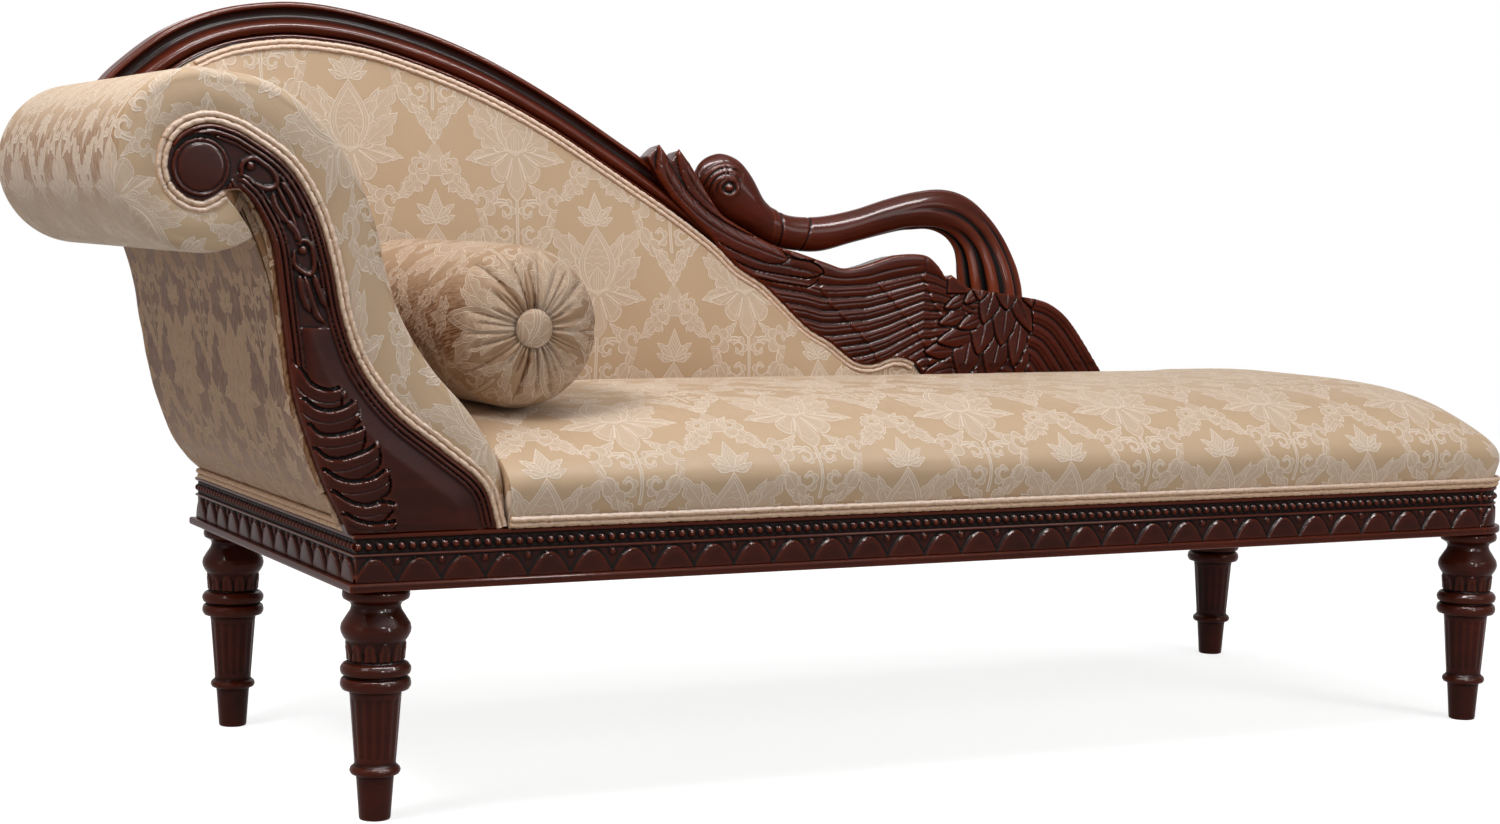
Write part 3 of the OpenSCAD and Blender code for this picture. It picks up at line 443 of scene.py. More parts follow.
# A traditional damask, mirrored about its columns: every other column is dropped by half a repeat, and a
# wavy border between them decides whose leaves show. Each leaf is a signed distance in millimetres, worked
# out from a curved middle line and a lobed width; it covers what was drawn before it, with its own outline
# and veins.
def damaskFigure(b, u, v):
    half, up = damaskLook["across"] / 2, damaskLook["up"]
    x, y = u * 1000.0, v * 1000.0
    x, y = abs(b.folded(x, damaskLook["across"])), b.folded(y, up)
    beyond = b.within(54.0 + 16.0 * b.cosine((y - 8.0) * (fullTurn / up)) - x, 0.01)
    x = x + beyond * (half - 2.0 * x)
    y = y + beyond * (up / 2)
    y = y - b.maths("ROUND", (y - 8.0) / up) * up
    drawn = [0.0, 0.0]

    def turnOf(angle):
        return float(np.cos(np.radians(angle))), float(np.sin(np.radians(angle)))

    # what lies inside the signed distance d covers what was drawn before, with bold and fine lines on it
    def show(d, bold=(), fine=()):
        inside = b.within(d - 0.8)
        strong, weak = [b.line(path, 0.8) for path in (d, *bold)], [b.line(path, 0.5) * 0.75 for path in fine]
        own = b.most(*strong, *weak)
        drawn[0] = b.most(drawn[0], inside)
        drawn[1] = drawn[1] + inside * (own - drawn[1])

    # a leaf from its foot x0, y0 along an angle: wide * sin(pi p^blunt) to each side at the share p, lobed
    def leaf(x0, y0, angle, long, wide, bend=0.0, lobes=4.0, lobe=0.4, blunt=0.6):
        c, s = turnOf(angle)
        p = ((x - x0) * c + (y - y0) * s) / long
        q = (y - y0) * c - (x - x0) * s - bend * p * p
        edge = wide * b.sine(b.most(p, 0.0) ** blunt * 3.1416)
        side = abs(q)
        nick = abs(b.sine(p * (lobes * 3.1416) - side * (1.6 / wide)))
        d = b.most(side - edge * (1.0 - lobe + lobe * nick), abs(p - 0.5) * long - long * 0.5)
        show(d, (), (side, b.most(nick * wide * 0.4, 0.4 * edge - side), d + 3.4))

    # a curl round cx, cy, whose radius grows with the angle, with nicks along its outer side
    def scroll(cx, cy, size, flip=1.0, start=0.0, leafy=5.0, body=2.2, grow=2.3):
        dx, dy = x - cx, (y - cy) * flip
        r = (dx * dx + dy * dy) ** 0.5
        c, s = turnOf(start)
        turn = b.maths("ARCTAN2", dy * c - dx * s, dx * c + dy * s)
        off = r - size - grow * turn
        nick = abs(b.sine(turn * 2.7))
        outer = nick * leafy * b.most(1.0 + turn * 0.3, 0.2) + body
        show(b.most(off - outer, -off - body), (), (off, b.most(nick * 3.0, 1.0 - off)))

    # leaves that stand up and out beside the bud
    leaf(8.0, 4.0, 65.0, 96.0, 17.0, -20.0, 5.0, 0.4, 1.05)
    leaf(6.0, 0.0, 0.0, 62.0, 11.0, -10.0, 3.5, 0.4, 1.1)
    leaf(8.0, 0.0, 30.0, 70.0, 15.0, 12.0, 4.0, 0.45, 1.1)
    leaf(6.0, 2.0, 74.0, 80.0, 11.0, -12.0, 4.0, 0.35, 1.0)

    # petals that droop under the heart, the middle one pointed
    r = (x * x + (y - 6.0) * (y - 6.0)) ** 0.5
    turn = b.maths("ARCTAN2", x, 6.0 - y)
    petal = abs(b.cosine(turn * 4.9))
    reach = (0.66 + 0.34 * petal ** 0.4) * (66.0 - 32.0 * abs(b.sine(turn * 1.6)) + 16.0 * turn)
    show(b.most(r - reach, (turn - 1.3) * 30.0), (b.most(petal * r / 4.9 - 0.3, 14.0 - r),),
         (r - reach * 0.84, b.most((petal - 0.55) * r / 4.0, 22.0 - r)))

    # a bud with scales over the heart, pointed on top, and a smaller one in it
    t = (y + 4.0) / 88.0
    bud = b.most(x - 25.0 * b.sine(b.most(b.least(t, 1.0), 0.0) ** 0.8 * 3.1416), abs(t - 0.5) * 88.0 - 44.0)
    row = b.maths("ROUND", y / 9.0)
    sx = x + 6.5 * b.maths("FLOORED_MODULO", row, 2.0)
    sx = b.folded(sx, 13.0)
    sy = y - row * 9.0 + 8.0
    scales = b.most(abs((sx * sx * 1.2 + sy * sy) ** 0.5 - 9.0), bud + 8.0, 16.0 - y)
    show(bud, (bud + 7.0,), (scales, bud + 3.5))
    core = x - 12.0 * b.sine(b.most(b.least((y + 2.0) / 34.0, 1.0), 0.0) ** 0.8 * 3.1416)
    show(b.most(core, abs(y - 15.0) - 17.0), (), (x - 1.5, x - 5.0))

    # dots along the heart
    dotX, dotY = b.folded(x, 4.6), y - 1.0 - x * x * 0.012
    show(b.most((dotX * dotX + dotY * dotY) ** 0.5 - 1.4, x - 16.0))

    # stem, curls and the thin frame round them
    show(b.most(x - 1.5, abs(y + 92.0) - 32.0))
    scroll(15.0, -74.0, 6.5, -1.0, 150.0, 3.4, 1.6, 1.3)
    scroll(17.5, -101.0, 8.0, 1.0, 200.0, 4.2, 1.7, 1.6)
    ringX, ringY = x - 22.0, (y + 92.0) * 0.8
    show(b.most(abs((ringX * ringX + ringY * ringY) ** 0.5 - 25.0) - 1.6, 14.0 - x))

    # finial
    leaf(3.0, 90.0, 52.0, 28.0, 5.5, -5.0, 2.0, 0.3, 1.0)
    leaf(2.0, 86.0, 10.0, 24.0, 5.0, 5.0, 2.0, 0.3, 1.0)
    mesh = b.least(abs(b.sine((x + y * 0.6) * 0.75)), abs(b.sine((x - y * 0.6) * 0.75))) * 1.3
    show((x / 9.0 + abs(y - 106.0) / 21.0 - 1.0) * 9.0, (), (mesh,))

    # leafy band that rises from the axis to the frame's side
    t = (y + 160.0) / 84.0
    rise = b.most(b.least(t, 1.0), 0.0)
    side = (x - 3.0 - 46.0 * rise * rise * (3.0 - 2.0 * rise)) * 0.8
    nick = abs(b.sine(y * 0.2 + side * 0.18))
    band = b.most(abs(side) - (2.6 + 8.0 * nick * b.sine(rise * 3.1416)), abs(t - 0.52) * 84.0 - 44.0)
    show(band, (), (side, b.most(nick * 3.0, 2.0 - abs(side))))
    leaf(4.0, -150.0, 62.0, 40.0, 8.0, -6.0, 3.0, 0.4)
    leaf(0.0, -146.0, -90.0, 22.0, 6.0, 0.0, 2.0, 0.2)

    # plumes above the finial and the curls that join them to the band
    leaf(40.0, -66.0, 118.0, 34.0, 8.0, 8.0, 3.0, 0.4)
    scroll(50.0, -60.0, 9.0, 1.0, 120.0, 6.0, 2.8, 2.0)
    scroll(38.0, 124.0, 6.5, 1.0, 0.0, 4.2, 2.2, 1.6)
    leaf(4.0, 148.0, 72.0, 30.0, 8.0, -8.0, 3.0, 0.4)
    leaf(4.0, 150.0, -28.0, 56.0, 12.0, -10.0, 4.0, 0.45, 0.8)
    scroll(19.0, 158.0, 10.0, -1.0, 60.0, 6.5, 3.2, 2.4)
    return drawn


# Satin ground and matt, slightly raised figure, with threads along the pattern. Upright sides that face along
# the couch get painted shade on the satin, in streaks along the threads, and there the figure's strength
# changes and its lines fade; where the cloth lies turned, a darker copy of the colours is used as painted
# shade.
def makeDamask(name, look):
    b = Board(name)
    uv = b.node("ShaderNodeUVMap", {"uv_map": "cloth"})
    u, v, _ = b.parts(uv)
    figure, outline = damaskFigure(b, u, v)
    cloud = b.noise(b.place(), 9.0, 3.0)
    threads = b.noise(uv, (2400, 420, 1), 2.0)
    ground = b.mix(b.held("MULTIPLY", cloud * 0.6 + threads * 0.5, 1.0), look["ground"], look["groundWarm"])
    endways, _, level = b.parts(b.node("ShaderNodeNewGeometry", out=1))
    # painted shade: strongest on upright sides that face along the couch
    sideShade = b.held("MULTIPLY", (abs(endways) - 0.3) * 1.7, 1.15 - abs(level) * 1.4)
    slant = b.node("ShaderNodeCombineXYZ", {}, {0: (u + v * 0.3) * 300.0, 1: v * 60.0})
    streaks = b.noise(slant, 1.0, 2.0, 0.6)
    ground = b.mix(sideShade * b.held("MULTIPLY", streaks - 0.25, 3.0), ground, look["groundInShade"])
    figured = b.mix(threads, look["figure"], look["figureWarm"])
    colour = b.mix(figure * (0.66 + sideShade * look["spread"]), ground, figured)
    colour = b.mix(outline * (0.72 - sideShade * 0.4), colour, look["line"])
    # painted shade: dark streaks on those sides
    colour = b.mix(sideShade * b.held("MULTIPLY", streaks - 0.54, 5.0) * 0.7, colour, look["groundInShade"])
    height = figure * 0.5 + outline * 0.7 + threads * 0.4 + cloud * 0.3
    normal = b.raised(height, 0.5, 0.0012)
    return b.finish({"Base Color": colour, "Roughness": 0.4 + figure * 0.32, "Normal": normal,
                     "Sheen Weight": 0.08, "Sheen Roughness": 0.3, "Specular IOR Level": 0.03})


# Plain wood, cloth or metal: a stretched noise mixes two colours and raises the surface a little.
def makePlain(name, light, dark, scale, strength, rough=0.8, metal=0.0):
    b = Board(name)
    grain = b.noise(b.place(), scale, 4.0, 0.6)
    normal = b.raised(grain, strength, 0.001)
    return b.finish({"Base Color": b.mix(grain, dark, light), "Roughness": rough - 0.15 * grain,
                     "Metallic": metal, "Normal": normal})


mahogany = makeMahogany("carvedMahogany")
# the base and plain copies are the same wood darkened as painted shade
baseMahoganyInShade = makeMahogany("baseMahoganyInShade", paintedShade=0.32)
plainMahogany = makeMahogany("plainMahogany", carved=False, paintedShade=0.3)
damask = makeDamask("damask", damaskLook["facing"])
# darker copies of the same cloth as painted shade, for the outside, the roll's end and the bolster
damaskInShade = makeDamask("damaskInShade", damaskLook["turned"])
damaskBolsterInShade = makeDamask("damaskBolsterInShade", damaskLook["bolster"])
cordCloth = makePlain("cordCloth", (208, 172, 138), (150, 112, 80), (300, 300, 300), 0.9, 0.75)
frameWood = makePlain("frameWood", (196, 158, 108), (150, 112, 70), (8, 70, 70), 0.3)
jute = makePlain("jute", (170, 140, 96), (118, 92, 56), (300, 300, 60), 0.6)
lining = makePlain("lining", (214, 208, 198), (188, 180, 168), (500, 500, 30), 0.3)
steel = makePlain("steel", (190, 190, 192), (150, 150, 154), (60, 60, 60), 0.1, 0.45, 1.0)
print("materials ready")

inside = {"frame_wood": frameWood, "steel": steel, "jute": jute}  # the CAD's own pieces, by their slot
for row in frame["record"]["subparts"]:
    if row["material_slot"] in inside or row["node"] == "arm_front_panel":
        materials = nodes[row["node"]].data.materials
        materials.clear()
        materials.append(inside.get(row["material_slot"], plainMahogany))

# The outlines, read on the front plane

armInside = curve([[171, 0.3], [171, 27], [163, 70], [131, 122], [89, 169], [57, 219], [39, 269], [28, 315],
                   [6, 370], [-30, 420], [-85, 458], [-153, 470]], 8)
armOutside = curve([[10, 0.5], [5, 12], [-12, 28], [-30, 54], [-44, 88], [-55, 122], [-64, 165], [-71, 205],
                    [-77, 240], [-85, 270], [-96, 300], [-110, 332]], 6)
panelEdge = curve([[-135, 349], [-157, 338], [-180, 349], [-189, 371], [-183, 396], [-168, 409], [-148, 414],
                   [-128, 410], [-108, 401], [-68, 373], [-40, 329], [-23, 276], [-12, 223], [8, 171],
                   [45, 124], [98, 83], [142, 46], [158, 0.3]], 6)
panelInner = curve([[-3, 0.3], [-15, 26], [-27, 49], [-45, 96], [-60, 143], [-68, 196], [-75, 249],
                    [-83, 299], [-102, 336], [-117, 351]], 6)
crestOuter = curve([[-178, 405], [-158, 437], [-130, 465], [-102, 496], [-45, 540], [18, 567], [86, 579],
                    [142, 579], [208, 569], [275, 553], [342, 530], [408, 500], [475, 464], [542, 424],
                    [582, 399], [625, 366], [662, 330], [690, 296]], 12)
crestInner = curve([[-136, 388], [-119, 415], [-98, 434], [-72, 462], [-22, 500], [29, 523], [90, 534],
                    [138, 534], [200, 527], [262, 511], [325, 490], [390, 463], [455, 430], [521, 391],
                    [561, 367], [603, 342], [645, 315], [684, 288]], 12)
wingFoot = curve([[684, 288], [714, 261], [750, 240], [782, 213], [819, 181], [855, 161], [891, 136],
                  [920, 131], [955, 140], [985, 133], [1005, 110]], 6)
wingTop = curve([[1041, 253], [1032, 250], [1018, 267], [996, 280], [950, 279], [905, 266], [873, 261],
                 [846, 268], [800, 282], [762, 292], [705, 320], [682, 336], [655, 374], [640, 396]], 6)
tailTop = curve([[1296, 111], [1278, 136], [1258, 163], [1241, 184], [1223, 201], [1200, 214],
                 [1178, 220]], 5)
neckOuter = curve([[1172, 221], [1169, 240], [1160, 268], [1139, 306], [1110, 339], [1078, 361], [1040, 370],
                   [996, 366], [950, 355], [900, 340], [846, 330], [800, 331], [770, 343]], 10)
neckInner = curve([[1070, 235], [1067, 254], [1065, 272], [1060, 288], [1048, 302], [1032, 311], [1014, 315],
                   [991, 314], [964, 311], [900, 296], [846, 283], [800, 285], [770, 292]], 10)
headOuter = curve([[770, 343], [757, 356], [740, 384], [722, 403],
                   [700, 411], [682, 408], [668, 399], [661, 387]], 8)
headInner = curve([[770, 292], [755, 299], [738, 308], [720, 317],
                   [700, 327], [683, 341], [669, 360], [662, 372]], 8)
wingTips = [[624, 415], [614, 399], [610, 402], [596, 420], [580, 404], [582, 399], [597, 375], [615, 352],
            [642, 327], [672, 302]]
rollAxis, rollRadius = np.array([-153, 378]), 92

# Carved base rails

railLook = {"scale": 3.1, "scaleHigh": 25.5, "bead": 4.1, "beadLevel": -12.5, "bandTop": -23.8,
            "bandFoot": -50, "cut": 0.5, "drop": 2.6, "dropSize": 3.4, "dropLevel": -28.4, "mitre": 40,
            "radius": 50, "cornerEnd": 50.3, "lunettes": 31, "beads": 127}
railEdge = np.array([[-22, 0], [-2, 0], [-0.6, -0.8], [-0.6, -3], [-1.6, -4.2], [-3.5, -5], [-3.5, -19.6],
                     [-1.4, -20.4], [-0.9, -21.6], [-1.4, -22.8], [-3.5, -23.6], [-3.5, -49.4], [-3.2, -50],
                     [3.4, -50], [4.6, -50.8], [5, -52.4], [5, -56.6], [4.2, -58.4], [2.8, -59], [-22, -59]])


# Height of the carving at a distance s along a run and a level w: a row of round beads, and scales that
# rise from the lip to a blunt point, 1 - x^1.9 high at a share x from their middle, with a small drop
# between two of them.
def railCarving(s, w, length, lunettes, beads):
    pitch = length / lunettes
    across = (s / pitch - np.floor(s / pitch) - 0.5) * pitch
    x, rise = np.abs(across) / (pitch / 2), (w - railLook["bandFoot"]) / railLook["scaleHigh"]
    edge = (1 - x**1.9 - rise) * railLook["scaleHigh"] / np.hypot(1, 2 * x)
    scale = ease(edge / 1.8) * railLook["scale"] * (0.62 + 0.38 * rise + 0.25 * (1 - x**2))
    scale = scale - railLook["cut"] * bell(edge - 4.4, 0.8)
    fromDrop = np.hypot(pitch / 2 - np.abs(across), (w - railLook["dropLevel"]) * 0.8)
    drop = railLook["drop"] * bump(fromDrop, railLook["dropSize"])
    band = (w < railLook["bandTop"]) & (w > railLook["bandFoot"] + 0.4)
    carving = np.where(band, np.maximum(scale, drop), 0)
    beadPitch = length / beads
    alongBead = (s / beadPitch - np.floor(s / beadPitch) - 0.5) * beadPitch
    ball = railLook["bead"] ** 2 - alongBead**2 - (w - railLook["beadLevel"]) ** 2
    return carving + np.where(ball > 0, np.sqrt(np.abs(ball)), 0)


# A run of rail: its section is swept along the run, pushed out by the carving, cut slantwise at a mitred end.
def carvedRun(name, length, frameOf, lunettes, beads, stands, mitred=(False, False), step=1.25):
    section = []
    for a, b in zip(railEdge[:-1], railEdge[1:]):
        count = max(1, int(np.linalg.norm(b - a) / (1.05 if max(a[0], b[0]) > -4 else 7)))
        section.append(a + (b - a) * np.linspace(0, 1, count, endpoint=False)[:, None])
    section = np.vstack(section + [railEdge[-1:]])
    out, level = section[:, 0][None], section[:, 1][None]
    s = np.linspace(0, length, max(24, int(length / step)))[:, None]
    s = s - (out * unit(1 - s / railLook["mitre"]) if mitred[0] else 0)
    s = s + (out * unit(1 - (length - s) / railLook["mitre"]) if mitred[1] else 0)
    lift = railCarving(s, level, length, lunettes, beads) * ((out > -4) & (level < -1))
    grid = frameOf(s, out + lift, level)
    o = skin(name, grid, sharp=42)
    return carved(o, baseMahoganyInShade, stands, 6, 0.5)


def straightFrame(start, along, outward):  # s runs along a line from the start
    def put(s, out, w):
        x, y = (start[k] + s * along[k] + out * outward[k] for k in (0, 1))
        return stacked(x, y, w + zTop) / 1000
    return put


def cornerFrame(centre, start):  # s runs clockwise seen from above, from the start angle
    def put(s, out, w):
        angle = np.radians(start) - s / railLook["radius"]
        r = railLook["radius"] + out
        return stacked(centre[0] + r * np.cos(angle), centre[1] + r * np.sin(angle), w + zTop) / 1000
    return put


xFoot = xHead + railLength
yBack = -yFront
cornerEnd = railLook["cornerEnd"]
runLength = railLength - cornerEnd
corner = railLook["radius"] * np.pi / 2
count = railLook["lunettes"], railLook["beads"]
oneMitre, twoMitres = (True, False), (True, True)
front = straightFrame([xHead, yFront], [1, 0], [0, -1])
back = straightFrame([xHead, yBack], [1, 0], [0, 1])
head = straightFrame([xHead, yFront], [0, 1], [-1, 0])
foot = straightFrame([xFoot, yFront + cornerEnd], [0, 1], [1, 0])
carvedRun("frontRail", runLength, front, *count, ["front_rail"], oneMitre, 1.6)
carvedRun("backRail", runLength, back, *count, ["back_rail"], oneMitre, 1.7)
carvedRun("headRail", railDepth, head, 13, 52, ["head_rail"], twoMitres)
carvedRun("footRail", railDepth - 2 * cornerEnd, foot, 11, 44, ["foot_rail"])
carvedRun("footCornerFront", corner, cornerFrame([xFoot - 50, yFront + 50], 0), 2, 7, ["foot_corner_front"])
carvedRun("footCornerBack", corner, cornerFrame([xFoot - 50, yBack - 50], 90), 2, 7, ["foot_corner_back"])
print("rails ready")

# Turned legs

legLook = {"profile": [[15, 0], [16.2, 0.6], [16.6, 2], [17, 8], [19.6, 44], [20.2, 47], [21.5, 47.6],
                       [25, 48.6], [26.5, 51], [26.6, 53], [25.6, 55.6], [22.4, 58], [21.6, 60], [21.8, 62],
                       [27.2, 134], [27.6, 136.4], [30, 137], [34.6, 138], [36.8, 141.6], [37, 145],
                       [36, 149], [32.6, 151.6], [32.4, 152.8], [35.8, 154.4], [37, 158], [36.8, 161.4],
                       [34, 165.4], [30, 167], [28.9, 168.6], [29.4, 176], [31, 188.6], [32, 190.4],
                       [34, 193], [36.4, 198], [37, 202], [36, 207], [31, 215], [27, 221], [25.7, 225.5],
                       [27, 229], [31, 231.4], [34.4, 233.4], [35.5, 237], [35, 241], [32.4, 244], [31, 245],
                       [9.9, 245], [9.9, 283]],
          "leaves": 12, "flutes": 16, "shaft": (64, 132), "drum": (168.8, 188.6)}


# A leg is its profile turned round its axis; the shaft has shallow flutes, the drum a ring of upright leaves.
def makeLeg(name, node):
    low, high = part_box(node)
    cx, cy = (low.x + high.x) * 500, (low.y + high.y) * 500
    line = evenly(np.array(legLook["profile"], float), 300)
    turn = circle(112)
    r, z = line[:, :1], line[:, 1:]
    (shaftLow, shaftHigh), (drumLow, drumHigh) = legLook["shaft"], legLook["drum"]
    shaft = ease((z - shaftLow) / 5) * ease((shaftHigh - z) / 5)
    r = r - shaft * 0.8 * abs(np.sin(turn * legLook["flutes"] / 2)) ** 0.7
    up = (z - 169) / 19
    leaf = np.abs(np.cos(turn * legLook["leaves"] / 2))
    lift = 1.9 * ease((leaf - 0.25 - 0.55 * up**2) * 5) * (1 - 0.5 * leaf**12) - 0.3
    r = r + ((z > drumLow) & (z < drumHigh)) * lift
    grid = stacked(cx + r * np.cos(turn), cy + r * np.sin(turn), z) / 1000
    o = skin(name, grid, sharp=48)
    return carved(o, baseMahoganyInShade, [node], 8, 0.7)


for side in ("Front", "Back"):
    for end in ("Head", "Foot"):
        makeLeg("leg" + side + end, "leg_" + side.lower() + "_" + end.lower())
print("legs ready")

# Crest rail

# Across the crest, from its outer to its inner edge: share of the width, depth behind the front.
crestLook = {"section": [[0, 46], [0, 30], [0, 12], [0.015, 9.4], [0.06, 8], [0.11, 7.6], [0.145, 8.6],
                         [0.16, 11], [0.22, 13.2], [0.3, 14.4], [0.37, 14], [0.43, 12], [0.47, 9.4],
                         [0.485, 7.6], [0.52, 4.6], [0.57, 2], [0.63, 0.4], [0.69, 0.2], [0.75, 1.4],
                         [0.8, 4], [0.835, 7.4], [0.845, 9.6], [0.86, 8], [0.885, 5.6], [0.915, 5],
                         [0.94, 6.2], [0.95, 8], [0.965, 7.4], [0.985, 8.6], [1, 11], [1, 30], [1, 46]],
             "front": 259}


def makeCrest():  # the section is carried along the band between the two edges
    section = evenly(curve(np.array(crestLook["section"]) * [40, 1], 4), 92) / [40, 1]
    stations = np.linspace(0, 1, 330)
    outer, inner = at(crestOuter, stations), at(crestInner, stations)
    spot = outer[:, None] + (inner - outer)[:, None] * section[None, :, :1]
    grid = place(spot[..., 0], crestLook["front"] + section[None, :, 1], spot[..., 1])
    o = skin("crestRail", grid, sharp=55)
    return carved(o, mahogany, ["crest_rail"], 6, 0.6)


makeCrest()
print("crest ready")

# The swan

swanLook = {"spacing": 1.55, "plane": 253.9, "lift": 2.7, "groove": 0.5, "roll": 3.9, "tailStrip": 17,
            "round": 13, "boardSpacing": 2.6, "rim": 6, "rimRound": 7}
swanOutline = np.vstack([wingFoot, [[1012, 80], [1012, 0.3], [1286, 0.3], [1293, 70]], tailTop,
                         [[1172, 220.5], [1070, 234.5]], wingTop, wingTips])


# A feather, as wide as half along its middle line: rounded over, with a cut middle vein and slanted nicks.
def feather(height, base, gap, along, half, lift):
    inside = unit(gap / half)
    body = base + lift * (0.25 + 0.75 * np.sqrt(1 - inside**2))
    body = body - 1.3 * bell(gap, 0.9) * ease((along - 0.06) / 0.1)
    body = body - 0.8 * ease((np.sin(along * 60 + gap * 0.5) - 0.93) / 0.07) * inside
    return np.where(gap < half, np.maximum(height, body), height)


def pointed(along, half):  # half width of a feather whose tip is at share 0
    return half * np.clip(np.minimum((along / 0.22) ** 0.5, ((1.001 - along) / 0.1) ** 0.5), 0.02, 1)


def underNeck(points):  # where the neck grows out of the board
    return (np.abs(points[:, 0] - 1121) < 49) & (points[:, 1] > 205)


# lower edge of the wing's rolled top, the width of a lane of feathers, and the lines where one set of
# feathers ends
laneTop = np.array([[670, 296], [690, 284], [703, 274], [736, 257], [774, 249], [812, 244], [838, 238],
                    [858, 237], [909, 239], [965, 250], [997, 256], [1018, 250], [1041, 240], [1075, 221]])
lanePitch = np.array([[690, 16], [846, 17], [940, 15.5], [1010, 12.5], [1060, 8.5], [1090, 7.5]])
laneEnds = [np.array([[930, 135], [910, 164], [882, 189], [854, 213], [838, 236]]),
            np.array([[1012, 140], [1004, 156], [976, 189], [951, 217], [925, 243]]),
            np.array([[1056, 150], [1046, 172], [1028, 197], [1012, 221], [998, 250]])]
rollTop = wingTop[np.argsort(wingTop[:, 0])]
longFeathers = [  # middle line from the tip, half width, base and lift
    ([[641, 400], [650, 378], [676, 344], [703, 324], [762, 296]], 10, 0.8, 2.6),
    ([[700, 274], [725, 264], [752, 256], [790, 250], [830, 244]], 10, 0.9, 2.4),
    ([[640, 330], [668, 308], [702, 286], [740, 270], [792, 262], [838, 256]], 11, 1.2, 2.8),
    ([[622, 414], [632, 390], [654, 357], [692, 326], [740, 303], [790, 290], [832, 276]], 12, 1.6, 3.2),
    ([[597, 420], [601, 390], [621, 357], [657, 325], [702, 300], [746, 284], [784, 272]], 13, 2.4, 3.6)]
# feathers of the breast from the lowest layer up: tip, the way it points, its length and half width
breastScales = [(1001, 117, 190, 46, 12), (1153, 112, 262, 44, 14), (1000, 147, 184, 48, 12),
                (1059, 112, 255, 52, 21), (1106, 113, 254, 54, 20), (1020, 161, 190, 56, 13),
                (1022, 186, 196, 44, 10), (1085, 143, 255, 56, 18), (1144, 126, 260, 68, 15),
                (1030, 207, 202, 40, 8), (1053, 180, 200, 40, 10), (1123, 155, 262, 66, 18),
                (1172, 174, 297, 66, 14), (1062, 214, 215, 30, 8), (1093, 186, 251, 54, 16)]
neckLeaves = [(1086, 218, 262, 26, 12), (1130, 205, 268, 42, 17), (1171, 209, 283, 34, 12)]


# Lanes of feathers: a lane is a share of the way down from the rolled edge, rounded across with a cut vein,
# and steps up at each line where a new set begins; then the roll, the long feathers, the tail strips and
# the scales.
def swanHeight(points, gap):
    u, w = points[:, 0], points[:, 1]
    top = np.interp(u, laneTop[:, 0], laneTop[:, 1])
    lane = (top - w) / np.interp(u, lanePitch[:, 0], lanePitch[:, 1])
    row, q = np.floor(lane), unit(lane - np.floor(lane))
    scallop = 5 * np.sin(np.pi * q) ** 0.7
    since = u - np.interp(w, [130, 300], [760, 690])
    for line in laneEnds:
        d = u - np.interp(w, line[:, 1], line[:, 0]) + scallop
        since = np.where(d > 0, d, since)
    arch = np.sin(np.pi * q**0.85) ** 0.65
    step = 1.8 * np.exp(-since / 30) * ease(since / 1.6 + 0.3)
    h = swanLook["groove"] + swanLook["lift"] * arch + step + 0.5 * (1 - q)
    h = h - 1.1 * bell(q - 0.46, 0.07) * ease(since / 10)
    nick = (since / 13 + q * 1.6 + row * 0.37) % 1
    h = h - 0.5 * bell(nick - 0.5, 0.07) * (q > 0.5) * (np.sin(row * 2.3 + since * 0.11) > 0.2)
    h = np.where((lane < 0) | (u > 1085), 1.0, h)
    rollHigh = np.interp(u, rollTop[:, 0], rollTop[:, 1])
    share = unit((rollHigh - w) / np.maximum(rollHigh - top, 4))
    roll = 1.6 + swanLook["roll"] * np.sin(np.pi * (0.12 + 0.88 * share) ** 0.9) ** 0.6
    roll = roll - 1.3 * bell(share - 0.58, 0.06) * ease((1010 - u) / 40) - 0.8 * bell(u - 998, 1.6)
    h = np.where((lane < 0) & (u > 786) & (u < 1040), np.maximum(h, roll * ease((u - 780) / 14)), h)
    for line, half, base, lift in longFeathers:
        d, t, _ = nearest(points, curve(line, 6))
        width = pointed(t, half)
        h = np.where((d < width + 1.4) & (d > width - 0.4), np.minimum(h, base), h)
        h = feather(h, base, d, t, width, lift)
    d, _, _ = nearest(points, np.vstack([tailTop, [[1172, 222]]]))
    strip = d / swanLook["tailStrip"]
    q = strip - np.floor(strip)
    tail = 0.3 + 3.8 * np.sin(np.pi * q**0.8) ** 0.6 + 0.6 * (2 - np.floor(strip))
    tail = tail - 1.1 * bell(q - 0.62, 0.05)
    h = np.where((u > 1120) & (w < 226), tail, h)
    block = ease((u - 1034) / 1.5) * ease((1079 - u) / 1.5) * ease((w - 227) / 1.5) * ease((253 - w) / 1.5)
    h = np.where((u > 1032) & (w > 226), 0.8 + 3.4 * block, h)
    for tipU, tipW, angle, length, half in breastScales + neckLeaves:
        way = np.array([np.cos(np.radians(angle)), np.sin(np.radians(angle))])
        rel = points - [tipU, tipW]
        back = -(rel @ way)
        side = rel[:, 0] * -way[1] + rel[:, 1] * way[0]
        t = unit(back / length)
        width = half * unit(t / 0.5) ** 0.6 * (1 - 0.3 * ease((t - 0.6) / 0.4))
        inside = (back > 0) & (back < length) & (np.abs(side) < width)
        across = unit(np.abs(side) / np.maximum(width, 0.1))
        body = 1.4 + 4.2 * (1 - t) ** 0.8 * np.sqrt(1 - 0.8 * across**2) + 0.4 * t
        body = body - 1.2 * bell(side, 1) * ease((t - 0.16) / 0.2)
        shadow = (back > -2.2) & (back < length * 0.7) & (np.abs(side) < width + 2.2) & ~inside
        h = np.where(inside, body, np.where(shadow, np.minimum(h, 0.5), h))
    rim = 0.4 + swanLook["rim"] * np.sqrt(1 - unit(1 - gap / swanLook["rimRound"]) ** 2)
    h = np.where(underNeck(points), h, np.minimum(h, rim))
    return np.clip(h, 0.35, 3.9 + 2.3 * ease((w - 128) / 6))


